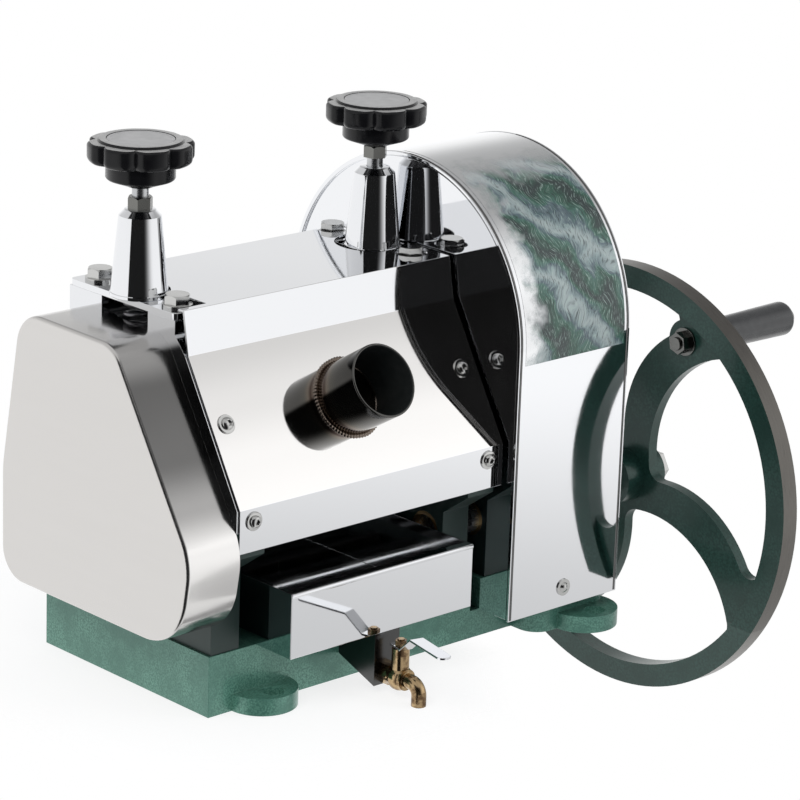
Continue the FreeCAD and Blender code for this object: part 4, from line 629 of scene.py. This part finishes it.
slope_painted_reflection = painted_reflection_finish("slope_painted_reflection", [(160, 0.97), (190, 0.93), (225, 0.78), (259, 0.64)], 7.0, 0.35, 0.03, 0.08)
band_reflection_tones = [(70, 0.45), (105, 0.66), (138, 0.86), (165, 0.40), (195, 0.17), (240, 0.14), (258, 0.30), (266, 0.62)]
band_painted_reflection = painted_reflection_finish("band_painted_reflection", band_reflection_tones, 30.0, 0.04, 0.14, 0.24)
print(slope_painted_reflection.name, band_painted_reflection.name)

# %% [markdown]
# The frames are castings with two finishes: plated above, where they show between the sheets, and
# painted deep green below, where they stand in the juice's way on the base.
# %% Frame finish
paint_line = 0.1440
frame_finish, frame_tree, frame_shader = new_finish("frame_finish", (0.8, 0.8, 0.8), 1.0, 0.1)
frame_group = polish_on(frame_tree, frame_shader, 22.0, 60.0, 0.04, 0.10, 1.0, 0.12)
painted = ramp(frame_tree, object_axes(frame_tree)["Z"], paint_line, paint_line + 0.001, 1.0, 0.0)
frame_tree.links.new(
    mix_color(frame_tree, painted, (0.78, 0.79, 0.81), (0.016, 0.034, 0.030)), frame_shader.inputs["Base Color"]
)
frame_tree.links.new(ramp(frame_tree, painted, 0.0, 1.0, 1.0, 0.1), frame_shader.inputs["Metallic"])
paint_gloss = math_node(frame_tree, "MULTIPLY_ADD", painted, 0.34, frame_group["Roughness"])
frame_tree.links.new(paint_gloss, frame_shader.inputs["Roughness"])
print(frame_finish.name)

# %% [markdown]
# The narrow gear cover is satin, not mirror: its scratches run round the sheet. Its tint is a
# little warm. Turned and ground steel inside the machine uses the same group along X.
# %% Satin and turned steel


def scratched_finish(name, dark_color, light_color, along, size, low, high, depth):
    material, tree, shader = new_finish(name, light_color, 1.0, 0.3)
    group = use_group(
        tree, scratches, Along_X=along[0], Along_Y=along[1], Along_Z=along[2], Size=size, Gloss_Low=low, Gloss_High=high
    )
    tree.links.new(group.outputs["Roughness"], shader.inputs["Roughness"])
    color = mix_color(tree, group.outputs["Streak"], dark_color, light_color)
    tree.links.new(color, shader.inputs["Base Color"])
    bump(tree, shader, group.outputs["Height"], 0.35, depth)
    return material


satin_steel = scratched_finish(
    "satin_steel", (0.63, 0.615, 0.60), (0.67, 0.655, 0.64), (1, 0.06, 1), 240, 0.20, 0.25, 0.006
)
turned_steel = scratched_finish("turned_steel", (0.42, 0.43, 0.44), (0.62, 0.63, 0.64), (1, 9, 9), 60, 0.22, 0.36, 0.03)
roller_steel = scratched_finish("roller_steel", (0.10, 0.10, 0.10), (0.20, 0.20, 0.20), (1, 9, 9), 60, 0.36, 0.52, 0.03)
# Near-black steel for the trash plate: painted shade, where the plate lies in shade under the panel.
plate_painted_shade = scratched_finish(
    "plate_painted_shade", (0.055, 0.050, 0.047), (0.10, 0.092, 0.086), (9, 1, 1), 60, 0.42, 0.6, 0.03
)
gear_iron = scratched_finish("gear_iron", (0.16, 0.16, 0.17), (0.27, 0.27, 0.28), (9, 1, 1), 60, 0.34, 0.5, 0.05)
spring_steel = scratched_finish("spring_steel", (0.14, 0.14, 0.15), (0.26, 0.26, 0.27), (4, 4, 1), 90, 0.3, 0.45, 0.02)
bearing_bronze = scratched_finish(
    "bearing_bronze", (0.40, 0.27, 0.12), (0.60, 0.43, 0.22), (9, 1, 1), 60, 0.28, 0.4, 0.03
)
print(satin_steel.name, turned_steel.name, gear_iron.name)

# %% [markdown]
# Green hammered enamel for the base: the web between the dimples is darker, and slow mottling
# varies the green. A clear coat carries the wet-looking shine of enamel over the coarse bump.
# %% Enamels


def enamel_finish(name, deep, pale, cell_size, depth, roughness, coat):
    material, tree, shader = new_finish(name, pale, 0.25, roughness, Coat_Weight=coat, Coat_Roughness=0.12)
    group = use_group(tree, hammered, Cell_Size=cell_size, Grit_Size=1500.0)
    color = mix_color(tree, group.outputs["Web"], pale, deep)
    mottled = mix_color(tree, ramp(tree, group.outputs["Mottle"], 0.35, 0.7), color, deep)
    tree.links.new(mottled, shader.inputs["Base Color"])
    bump(tree, shader, group.outputs["Height"], 0.6, depth)
    return material


hammered_green = enamel_finish("hammered_green", (0.055, 0.165, 0.125), (0.125, 0.300, 0.230), 760, 0.16, 0.34, 0.25)
dark_green = enamel_finish("dark_green", (0.010, 0.038, 0.030), (0.020, 0.062, 0.050), 520, 0.04, 0.32, 0.2)
print(hammered_green.name, dark_green.name)

# %% [markdown]
# Moulded plastics: the knobs are glossy black with faint flow marks, their caps satin grey, and
# the grip is a dark satin. Fine noise in the roughness keeps them from looking like pure colour.
# %% Plastics


def plastic_finish(name, color, lighter, low, high, depth, gloss=0.5):
    material, tree, shader = new_finish(name, color, 0.0, low, Specular_IOR_Level=gloss)
    group = polish_on(tree, shader, 180.0, 70.0, low, high, 0.5, depth)
    tree.links.new(mix_color(tree, group["Height"], color, lighter), shader.inputs["Base Color"])
    return material


black_plastic = plastic_finish("black_plastic", (0.004, 0.004, 0.005), (0.009, 0.009, 0.010), 0.16, 0.28, 0.05, 0.25)
grey_plastic = plastic_finish("grey_plastic", (0.36, 0.355, 0.355), (0.44, 0.435, 0.435), 0.34, 0.46, 0.04)
# Lighter grey for the knobs' flat tops: a painted highlight where the tops face the bright overhead.
knob_top_painted_highlight = plastic_finish("knob_top_painted_highlight", (0.30, 0.296, 0.29), (0.40, 0.395, 0.388), 0.30, 0.42, 0.04)
grip_plastic = plastic_finish("grip_plastic", (0.022, 0.023, 0.025), (0.040, 0.041, 0.043), 0.20, 0.30, 0.03, 0.7)
print(black_plastic.name, grey_plastic.name, grip_plastic.name)

# %% [markdown]
# The tap is cast brass, polished and then handled: brown tarnish sits in slow patches, and small
# pits roughen it. The tarnish mask is the film noise of the polished group, used as a colour mask.
# %% Brass
tap_brass, brass_tree, brass_shader = new_finish("tap_brass", (0.62, 0.42, 0.20), 1.0, 0.16)
brass_group = polish_on(brass_tree, brass_shader, 160.0, 110.0, 0.14, 0.40, 0.6, 0.10)
tarnish = ramp(brass_tree, brass_group["Roughness"], 0.18, 0.30)
brass_tree.links.new(
    mix_color(brass_tree, tarnish, (0.50, 0.36, 0.20), (0.16, 0.10, 0.055)), brass_shader.inputs["Base Color"]
)
print(tap_brass.name)

# %% [markdown]
# The feed tube is steel that was welded to the panel: heat has turned its root brown and
# straw-coloured. The tint depends on the distance from the panel's face along the tube's axis.
# Inside, the tube is painted near black: painted shade in the bore.
# %% Heat-tinted steel
tube_low, tube_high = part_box("feed_tube")
tube_axis = Vector((0, -math.cos(panel_slope), math.sin(panel_slope)))
weld_reach = 0.004
tube_radius = (tube_high.x - tube_low.x) / 2 - weld_reach
tube_root = Vector((
    (tube_low.x + tube_high.x) / 2,
    tube_high.y - (tube_radius + weld_reach) * math.sin(panel_slope),
    tube_low.z + (tube_radius + weld_reach) * math.cos(panel_slope),
))
heat_steel, heat_tree, heat_shader = new_finish("heat_tinted_steel", (0.5, 0.5, 0.5), 1.0, 0.1)
heat_group = polish_on(heat_tree, heat_shader, 30.0, 90.0, 0.05, 0.16, 0.6, 0.08)
along_tube = add_node(
    heat_tree, "ShaderNodeVectorMath", {0: object_place(heat_tree), 1: tube_axis}, operation="DOT_PRODUCT"
)
distance = math_node(heat_tree, "SUBTRACT", along_tube.outputs["Value"], tube_root.dot(tube_axis))
wander = math_node(heat_tree, "MULTIPLY", heat_group["Height"], 0.006)
distance = math_node(heat_tree, "SUBTRACT", distance, wander)
heat_tints = [
    (0.0, (0.22, 0.18, 0.15)), (0.16, (0.07, 0.045, 0.035)), (0.32, (0.20, 0.17, 0.14)),
    (0.6, (0.13, 0.125, 0.112)), (1.0, (0.105, 0.103, 0.098)),
]
tint = color_ramp(heat_tree, ramp(heat_tree, distance, -0.002, 0.022), heat_tints)
heat_tree.links.new(tint, heat_shader.inputs["Base Color"])
# Near-black finish for the tube's bore: painted shade inside the tube.
tube_bore_painted_shade = plastic_finish("tube_bore_painted_shade", (0.010, 0.012, 0.012), (0.018, 0.020, 0.020), 0.40, 0.55, 0.05, 0.2)
print("tube root", tuple(round(v, 4) for v in tube_root))

# %% [markdown]
# Now the pieces. The base casting and the bearing bracket are enamelled castings with generous
# soft edges. The two frames, caps and bearing blocks are plated or ground.
# %% Castings
dressed("base_casting", 1.6, hammered_green, segments=3)
dressed("drive_bearing_bracket", 1.2, hammered_green)
for side in ("left", "right"):
    dressed(side + "_frame", 0.9, frame_finish)
    dressed(side + "_bearing_cap", 0.6, plated_casting)
    dressed(side + "_bearing_block", 0.6, turned_steel)
print("castings dressed")

# %% [markdown]
# The sheet-metal pieces are thin, so their bevels are narrow. The front panel's folds are only 20
# to 30 degrees, so its bevel starts at a smaller angle and rounds the folds as a press brake does.
# %% Sheet metal
panel = dressed("front_panel", 0.55, polished_steel, angle=15, segments=3)
# The slope's faces take the painted reflection, graded darker towards the upper bend.
give_faces(panel, slope_painted_reflection, lambda middle, normal: normal.y < -0.5 and 0.4 < normal.z < 0.65)
dressed("rear_guard", 0.45, polished_steel, angle=15)
dressed("outlet_chute", 0.4, polished_steel)
dressed("gear_back_plate", 0.3, polished_steel)
cover = dressed("left_gear_cover", 0.6, satin_steel)
# The cover's band takes the painted dark reflection along its slope.
give_faces(cover, band_painted_reflection, lambda middle, normal: abs(normal.x) < 0.35)
dressed("juice_tray", 0.4, polished_steel)
# The tray's outlet takes steel painted near black: painted shade under the tray.
dressed("tray_outlet", 0.4, outlet_painted_shade)
print("sheets dressed")

# %% [markdown]
# Screws, bolts and nuts are plated steel with tiny bevels, which is what makes them glint. The
# lock nuts and the crank's bolt are duller than the others.
# %% Fasteners
for name in ("cap_bolts", "left_cover_screws", "back_plate_studs", "drive_shaft_fittings"):
    dressed(name, 0.3, bright_fastener, angle=32)
for name in ("left_lock_nut", "right_lock_nut", "crank_bolt"):
    dressed(name, 0.3, dull_fastener, angle=32)
print("fasteners dressed")

# %% [markdown]
# The front panel hangs on four button-head screws with washers. Where they sit is read from the
# solid: its shells are parted, and each thin round one is a washer. A turned profile gives the
# washer and the domed head, and the points of the recess are pulled to a hexagon for the key.
# %% Button-head screws


def loose_boxes(node):
    """The boxes of a node's separate shells, from left to right and from the top down."""
    shells = bpy.data.objects.new("loose_" + node, nodes[node].data.copy())
    bpy.context.scene.collection.objects.link(shells)
    pick(shells)
    edit_all()
    bpy.ops.mesh.remove_doubles(threshold=MERGE_REACH)
    bpy.ops.mesh.separate(type="LOOSE")
    bpy.ops.object.mode_set(mode="OBJECT")
    boxes = []
    for shell in list(bpy.context.selected_objects):
        points = [vertex.co for vertex in shell.data.vertices]
        low = Vector([min(point[i] for point in points) for i in range(3)])
        high = Vector([max(point[i] for point in points) for i in range(3)])
        boxes.append((low, high))
        bpy.data.objects.remove(shell)
    return sorted(boxes, key=lambda pair: (round(pair[0].x, 4), -pair[0].z))


screw_profile = [
    (-0.2, 1.0), (-0.2, 6.6), (0.0, 6.8), (0.3, 7.0), (0.9, 7.0), (1.2, 6.75), (1.2, 4.9), (1.25, 4.7),
    (1.7, 4.75), (2.5, 4.6), (3.3, 4.15), (3.9, 3.4), (4.2, 2.75), (4.25, 2.5), (4.1, 2.35), (2.6, 2.3), (2.6, 0.1),
]
least_washer = 12.5 * MM
washer_depth = 1.6 * MM
seat_depth = 0.6 * MM
heads = []
for low, high in loose_boxes("panel_screws"):
    size = high - low
    if size.x < least_washer:
        continue
    lean = math.pi / 2 if size.y < washer_depth else panel_lean
    outward = Vector((0, -math.sin(lean), math.cos(lean)))
    seat = (low + high) / 2 - outward * seat_depth
    head = turned("panel_screw_head", screw_profile, (0, 0, 0))
    for vertex in head.data.vertices:
        radius = math.hypot(vertex.co.x, vertex.co.y)
        if 1.5 * MM < radius < 2.4 * MM and vertex.co.z > 2.0 * MM:
            part_turn = (math.atan2(vertex.co.y, vertex.co.x) % (math.pi / 3)) - math.pi / 6
            pull = math.cos(math.pi / 6) / math.cos(part_turn)
            vertex.co.x *= pull
            vertex.co.y *= pull
    head.matrix_world = Matrix.Translation(seat) @ Matrix.Rotation(lean, 4, "X")
    apply_place(head)
    give(head, bright_fastener)
    smooth(head, 35)
    heads.append(head)
print("panel screws found", len(heads))
pick(heads[0])
for head in heads[1:]:
    head.select_set(True)
bpy.ops.object.join()
panel_heads = bpy.context.active_object
panel_heads.name = "panel_screw_heads"
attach(panel_heads, "machine")
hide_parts("panel_screws")
dressed("arch_cover_screws", 0.3, bright_fastener, angle=32)

# %% [markdown]
# The tray's front plate ends in a rolled hem along its upper edge. It is a slim rod, flattened
# to half its depth and set on the front face, with its ends rounded over.
# %% Tray hem
tray_low, tray_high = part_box("juice_tray")
hem_radius = 0.0016
hem_reach = tray_high.x - tray_low.x - 0.0006
hem = added(
    "tray_front_hem", bpy.ops.mesh.primitive_cylinder_add, vertices=24, radius=hem_radius, depth=hem_reach,
    location=(0, 0, 0),
)
edit_all()
bpy.ops.transform.resize(value=(1, 0.5, 1), center_override=(0, 0, 0))
bpy.ops.transform.rotate(value=math.pi / 2, orient_axis="Y", center_override=(0, 0, 0))
bpy.ops.object.mode_set(mode="OBJECT")
hem_edge = hem.modifiers.new("rounded_ends", "BEVEL")
hem_edge.width = 0.0004
hem_edge.segments = 2
hem_edge.limit_method = "ANGLE"
hem_edge.angle_limit = math.radians(60)
apply_modifiers(hem)
print("hem depth and height", [round(value, 4) for value in hem.dimensions.yz])
hem.location = ((tray_low.x + tray_high.x) / 2, tray_low.y - 0.0002, tray_high.z - 0.0017)
apply_place(hem)
finished(hem, polished_steel, 40, "tray")

# %% [markdown]
# Pieces deep inside, and the tap's stem, keep the solid's own mesh and only take their finish.
# %% Inner pieces
for material, names in (
    (bright_fastener, ("frame_foot_bolts",)),
    (plate_painted_shade, ("trash_plate",)),
    # The trash plate's near-black tone is painted shade under the panel.
    (bearing_bronze, ("shaft_bushes", "block_bushes")),
    (roller_steel, ("top_roller", "front_roller", "rear_roller")),
    (gear_iron, ("top_roller_gear", "front_roller_gear", "rear_roller_gear", "drive_gear", "drive_pinion")),
    (spring_steel, ("top_shaft_retainers", "front_shaft_retainers", "rear_shaft_retainers")),
    (spring_steel, ("left_pressure_spring", "right_pressure_spring")),
    (turned_steel, ("left_spring_seat", "right_spring_seat", "left_pressure_screw", "right_pressure_screw")),
    (turned_steel, ("drive_shaft",)),
    (tap_brass, ("tap_stem",)),
):
    for name in names:
        give(nodes[name], material)
        smooth(nodes[name], 30)
print("inner pieces finished")

# %% [markdown]
# The arch cover is one polished band over two rolled rims. Its copy keeps the solid's form, and a
# rolled bead is swept along each rim. The front half of each bead is painted darker: a painted
# reflection of the dark opening.
# %% Arch cover
dressed("arch_gear_cover", 0.5, polished_steel)
UPRIGHT = Matrix(((0, 0, 1, 0), (1, 0, 0, 0), (0, 1, 0, 0), (0, 0, 0, 1)))


def upper_hoop(name, radius, points):
    """The upper half of a circle round the arch's middle, drawn flat at the origin."""
    hoop = added(
        name, bpy.ops.mesh.primitive_circle_add, vertices=points, radius=radius, fill_type="NOTHING",
        location=(0, 0, 0),
    )
    edit_all()
    bpy.ops.mesh.bisect(plane_co=(0, 0, 0), plane_no=(0, 1, 0), clear_inner=True)
    bpy.ops.object.mode_set(mode="OBJECT")
    return hoop


def pick_points(obj, chosen):
    """Select only the chosen points and go to edit mode."""
    for vertex in obj.data.vertices:
        vertex.select = vertex.index in chosen
    bpy.ops.object.mode_set(mode="EDIT")


def stand_up(hoop, x):
    """Stand a flat outline upright round the arch's middle, at station x."""
    hoop.matrix_world = Matrix.Translation((x, arch_middle.y, arch_center_z)) @ UPRIGHT
    apply_place(hoop)


def rim_bead(name, x, radius_mm, inset_mm):
    """A round bead along the tombstone outline at station x, from foot to foot."""
    outline = upper_hoop(name, arch_radius - inset_mm * MM, 192)
    ends = sorted(outline.data.vertices, key=lambda v: v.co.y)[:2]
    pick_points(outline, [end.index for end in ends])
    bpy.ops.mesh.extrude_region_move(TRANSFORM_OT_translate={"value": (0, arch_low.z + 0.001 - arch_center_z, 0)})
    bpy.ops.object.mode_set(mode="OBJECT")
    stand_up(outline, x)
    bpy.ops.object.convert(target="CURVE")
    outline.data.bevel_depth = radius_mm * MM
    outline.data.bevel_resolution = 4
    outline.data.use_fill_caps = True
    bpy.ops.object.convert(target="MESH")
    # The whole bead first takes the dark painted reflection, and its back half then gets plain polished steel.
    finished(outline, rim_painted_reflection, 60, "machine")
    give_faces(outline, polished_steel, lambda middle, normal: middle.y > arch_middle.y)


bead_mm = 2.2
bead_proud_mm = 0.4
rim_bead("arch_rim_left", arch_low.x + bead_mm * MM, bead_mm, bead_mm - bead_proud_mm)
rim_bead("arch_rim_right", arch_high.x - bead_mm * MM, bead_mm, bead_mm - bead_proud_mm)
print("arch rims made")

# %% [markdown]
# A printed foil covers the upper front of the band. Its print is a plain decorative one made for
# this model: diagonal ribbons of teal, slate and white with brush strokes. The foil follows the
# band: the arc is a circle cut down to size and drawn across the band.
# %% Foil on the arch
foil_gap = 0.00012
foil_start = math.radians(84)
foil_drop = 0.009
foil_left = arch_low.x + 0.0065
foil_right = arch_high.x - 0.0055
foil = upper_hoop("arch_foil", arch_radius + foil_gap, 256)
edit_all()
bpy.ops.mesh.bisect(
    plane_co=(0, 0, 0), plane_no=(math.sin(foil_start), -math.cos(foil_start), 0), clear_outer=True
)
bpy.ops.object.mode_set(mode="OBJECT")
lowest = min(foil.data.vertices, key=lambda v: (round(v.co.y, 5), v.co.x))
pick_points(foil, [lowest.index])
bpy.ops.mesh.extrude_region_move(TRANSFORM_OT_translate={"value": (0, -foil_drop, 0)})
bpy.ops.mesh.select_all(action="SELECT")
bpy.ops.mesh.extrude_region_move(TRANSFORM_OT_translate={"value": (0, 0, foil_right - foil_left)})
bpy.ops.object.mode_set(mode="OBJECT")
stand_up(foil, foil_left)
smooth(foil, 60)
print("foil points", len(foil.data.vertices))

# %% [markdown]
# The print is drawn in the band's own directions: the arc length round the arch and the width
# along X. Ribbons are a diagonal wave bent by noise, and noise stretched along them gives light
# and dark brush strokes. Towards the foil's upper and left edges the print fades to bare steel.
# %% Print on the foil
foil_print, print_tree, print_shader = new_finish(
    "foil_print", (0.3, 0.4, 0.4), 0.1, 0.22, Coat_Weight=0.6, Coat_Roughness=0.08
)
place_axes = object_axes(print_tree)
rel_y = math_node(print_tree, "SUBTRACT", place_axes["Y"], arch_middle.y)
rel_z = math_node(print_tree, "SUBTRACT", place_axes["Z"], arch_center_z)
above = math_node(print_tree, "MAXIMUM", rel_z, 0.0)
below = math_node(print_tree, "MINIMUM", rel_z, 0.0)
arc = math_node(print_tree, "ARCTAN2", above, math_node(print_tree, "MULTIPLY", rel_y, -1.0))
arc_length = math_node(print_tree, "ADD", math_node(print_tree, "MULTIPLY", arc, arch_radius), below)
across = math_node(print_tree, "SUBTRACT", place_axes["X"], foil_left)
flat_place = add_node(print_tree, "ShaderNodeCombineXYZ", {"X": across, "Y": arc_length}).outputs[0]
print("print directions ready")

# %% Ribbons and strokes
sway = noise(print_tree, flat_place, 26.0, 2.0).node.outputs["Color"]
swayed = add_node(
    print_tree, "ShaderNodeVectorMath", {0: sway, 1: (0.035, 0.035, 0), 2: flat_place}, operation="MULTIPLY_ADD"
).outputs[0]
ribbons = add_node(
    print_tree, "ShaderNodeTexWave",
    {"Scale": 8.5, "Distortion": 3.6, "Detail": 7.0, "Detail Scale": 3.0, "Vector": swayed},
    wave_profile="SIN", bands_direction="DIAGONAL",
)
ribbon_colors = color_ramp(print_tree, ribbons.outputs["Fac"], [
    (0.0, (0.014, 0.030, 0.030)), (0.25, (0.018, 0.085, 0.055)), (0.48, (0.045, 0.135, 0.105)),
    (0.66, (0.075, 0.115, 0.140)), (0.84, (0.20, 0.27, 0.28)), (1.0, (0.34, 0.40, 0.40)),
])
stroke_place = add_node(
    print_tree, "ShaderNodeMapping", {"Rotation": (0, 0, math.radians(52)), "Scale": (900, 150, 1), "Vector": swayed}
)
strokes = noise(print_tree, stroke_place.outputs[0], 1.0, 5.0, 0.62)
inked = mix_color(
    print_tree, ramp(print_tree, strokes, 0.33, 0.50, 0.85, 0.0), ribbon_colors, (0.010, 0.026, 0.024)
)
inked = mix_color(print_tree, ramp(print_tree, strokes, 0.52, 0.66, 0.0, 0.6), inked, (0.40, 0.52, 0.47))
print("ribbons and strokes drawn")

# %% Fade to bare steel
fade = noise(print_tree, flat_place, 55.0, 6.0)
wobble = math_node(print_tree, "MULTIPLY", math_node(print_tree, "SUBTRACT", fade, 0.5), 0.05)
foil_top_arc = arch_radius * foil_start
top_place = math_node(print_tree, "ADD", arc_length, wobble)
bare_top = ramp(print_tree, top_place, foil_top_arc - 0.055, foil_top_arc - 0.012)
bare_left = ramp(print_tree, math_node(print_tree, "ADD", across, wobble), 0.002, 0.022, 1.0, 0.0)
bare = math_node(print_tree, "MAXIMUM", bare_top, bare_left)
print_tree.links.new(mix_color(print_tree, bare, inked, (0.80, 0.81, 0.82)), print_shader.inputs["Base Color"])
print_tree.links.new(ramp(print_tree, bare, 0.0, 1.0, 0.15, 1.0), print_shader.inputs["Metallic"])
print_tree.links.new(ramp(print_tree, bare, 0.0, 1.0, 0.26, 0.12), print_shader.inputs["Roughness"])
give(foil, foil_print)
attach(foil, "machine")
print("foil printed")

# %% [markdown]
# The screw towers are turned from bar and plated: a small foot flange, a long taper and a bevelled
# shoulder. Ring by ring, with small rounds at each corner, they show the tent as clean stripes.
# %% Towers


def tower(side):
    node = side + "_screw_tower"
    low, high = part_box(node)
    middle = (low + high) / 2
    height = (high.z - low.z) / MM
    foot = (high.x - low.x) / 2 / MM
    rim = foot - 6.0
    side_top = height - 4.0
    bore = 6.3
    stations = [(0, bore), (0, foot - 0.4), (0.4, foot), (2.6, foot), (3.0, foot - 0.5)]
    stations += [(4.2, foot - 0.75), (side_top - 1.2, rim + 0.1), (side_top - 0.4, rim - 0.15), (side_top, rim - 0.6)]
    stations += [(height - 0.7, rim - 3.7), (height - 0.2, rim - 4.1), (height, rim - 4.5), (height, bore)]
    stations += [(height - 3, bore)]
    piece = turned(side + "_tower_turned", stations, (middle.x, middle.y, low.z))
    finished(piece, plated_casting, 30, "machine")
    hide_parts(node)


for side in ("left", "right"):
    tower(side)
print("towers turned")

# %% [markdown]
# The clamping knobs are moulded: a stepped hub under a disc with eight rounded lobes, a low
# plateau and a grey cap pressed into it. The flat top is painted lighter, a painted highlight from above. The disc is
# drawn up as a turned piece with many points round it, and the points of its rim are then pulled in
# between the lobes.
# %% Knobs
LOBES = 8
LOBE_DEPTH_MM = 4.6
LOBE_INNER_MM = 30.8


def lobe_pull(angle):
    """How far the rim is pulled in at an angle: 0 on a lobe, 1 in the middle of a hollow."""
    phase = (angle / (2 * math.pi) * LOBES) % 1.0
    away = abs(phase - 0.5) * 2
    return max(0.0, (away - 0.42) / 0.58) ** 1.6


def knob(side):
    node = side + "_knob"
    low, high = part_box(node)
    middle = (low + high) / 2
    neck = low.z / MM
    disc_low = neck + 17.5
    disc_high = disc_low + 15.0
    top = disc_high + 2.0
    stations = [(neck, 6.1), (neck, 9.4), (neck + 0.5, 10.0), (neck + 5.2, 23.4), (neck + 5.9, 24.3)]
    stations += [(neck + 6.8, 24.8), (disc_low - 1.2, 24.8), (disc_low - 0.5, 25.1), (disc_low - 0.1, 26.0)]
    stations += [(disc_low, 31.0)]
    stations += arc_stations(disc_low + 5.0, 33.0, 5.0, -90, 0, 6)[1:]
    stations += [(disc_high - 3.2, 38.0)]
    stations += arc_stations(disc_high - 2.6, 35.4, 2.6, 0, 90, 5)
    stations += [(disc_high, 31.6), (disc_high + 0.1, 30.6), (disc_high + 0.5, 30.2), (top - 0.5, 29.8)]
    stations += [(top - 0.12, 29.5), (top, 28.9), (top, 25.0), (top - 0.15, 24.5), (top - 1.35, 24.35)]
    stations += [(top - 1.4, 6.1)]
    piece = turned(side + "_knob_moulded", stations, (middle.x, middle.y, 0), segments=192)
    for vertex in piece.data.vertices:
        offset = Vector((vertex.co.x - middle.x, vertex.co.y - middle.y))
        radius = offset.length / MM
        if radius > LOBE_INNER_MM and disc_low - 0.05 <= vertex.co.z / MM <= disc_high + 0.05:
            pull = lobe_pull(math.atan2(offset.y, offset.x)) * LOBE_DEPTH_MM
            pull *= min(1.0, (radius - LOBE_INNER_MM) / 4.0)
            scale = (radius - pull) / radius
            vertex.co.x = middle.x + offset.x * scale
            vertex.co.y = middle.y + offset.y * scale
    finished(piece, black_plastic, 38, side + "_screw")
    # The upward faces of the top take the lighter grey: a painted highlight from above.
    give_faces(piece, knob_top_painted_highlight, lambda middle, normal: normal.z > 0.9 and middle.z / MM > disc_high - 1.0)
    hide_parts(node)
    cap_low, cap_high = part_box(side + "_knob_insert")
    cap_height = (cap_high.z - cap_low.z) / MM
    radius = (cap_high.x - cap_low.x) / 2 / MM
    cap_stations = [(0, 0.5), (0, radius), (cap_height - 0.35, radius), (cap_height - 0.1, radius - 0.15)]
    cap_stations += [(cap_height, radius - 0.5), (cap_height, radius - 2.0), (cap_height - 0.25, radius - 2.4)]
    cap_stations += [(cap_height - 0.25, 0.5)]
    cap = turned(side + "_knob_cap", cap_stations, (middle.x, middle.y, cap_low.z), segments=128)
    finished(cap, grey_plastic, 30, side + "_screw")
    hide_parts(side + "_knob_insert")


for side in ("left", "right"):
    knob(side)
print("knobs moulded")

# %% [markdown]
# The feed tube is a short length of pipe with a rounded lip, welded on. The weld is a bead whose
# surface ripples: a torus ring with its points nudged in a regular rhythm, as a welder's passes do.
# %% Feed tube
WELD_PASSES = 72
tube_length = 43.0
tube_outer = tube_radius / MM
tube_inner = tube_outer - 2.0
tube_stations = [(-1.0, tube_inner), (-1.0, tube_outer - 0.2), (0.0, tube_outer), (tube_length - 1.0, tube_outer)]
tube_stations += arc_stations(tube_length - 1.0, tube_outer - 1.0, 1.0, 0, 180, 8)[1:]
tube_stations += [(tube_length - 1.0, tube_inner), (-1.0, tube_inner)]
tube = turned("feed_tube_pipe", tube_stations, tube_root, turn=(panel_lean, 0, 0), segments=128)
finished(tube, heat_steel, 40, "machine")
# The inner faces take the near-black painted shade of the bore.
give_faces(tube, tube_bore_painted_shade, lambda middle, normal: (
    (middle - tube_root - tube_axis * (middle - tube_root).dot(tube_axis)).dot(normal) < -0.5 * tube_inner * MM
))
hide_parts("feed_tube")
weld = added(
    "feed_tube_weld", bpy.ops.mesh.primitive_torus_add, major_radius=(tube_outer + 1.1) * MM,
    minor_radius=1.9 * MM, major_segments=288, minor_segments=14,
)
for vertex in weld.data.vertices:
    angle = math.atan2(vertex.co.y, vertex.co.x)
    swell = 1 + 0.012 * math.sin(WELD_PASSES * angle) + 0.006 * math.sin(9 * angle + 1)
    vertex.co.x *= swell
    vertex.co.y *= swell
    vertex.co.z *= 0.75 + 0.18 * math.sin(WELD_PASSES * angle + 0.8)
weld.matrix_world = Matrix.Translation(tube_root) @ Matrix.Rotation(panel_lean, 4, "X")
apply_place(weld)
finished(weld, heat_steel, 80, "machine")
print("feed tube made")

# %% [markdown]
# The handwheel is one flat casting: rim, four swept spokes and hub. It is enamelled all over, and
# the rim's outside is then turned and left bare, so the faces out there get the brownish finish
# of turned iron.
# %% Handwheel
bare_rim = scratched_finish("turned_rim", (0.10, 0.095, 0.088), (0.19, 0.18, 0.165), (9, 1, 1), 70, 0.26, 0.38, 0.03)
wheel = dressed("handwheel", 1.3, dark_green, segments=3)
give_faces(wheel, bare_rim, lambda middle, normal: (
    abs(normal.x) < 0.5 and math.hypot(middle.y - wheel_middle.y, middle.z - wheel_middle.z) > wheel_radius - 0.8 * MM
))
dressed("handle_grip", 0.4, grip_plastic)
print("handwheel finished")

# %% [markdown]
# The tap: the body keeps the solid's form with softened edges in brass, the lever is polished
# steel, and its nut is brass, like the stem that got its finish with the inner pieces.
# %% Tap
dressed("tap_body", 0.35, tap_brass)
dressed("tap_lever", 0.35, polished_steel)
dressed("tap_lever_nut", 0.25, tap_brass)
print("tap finished")
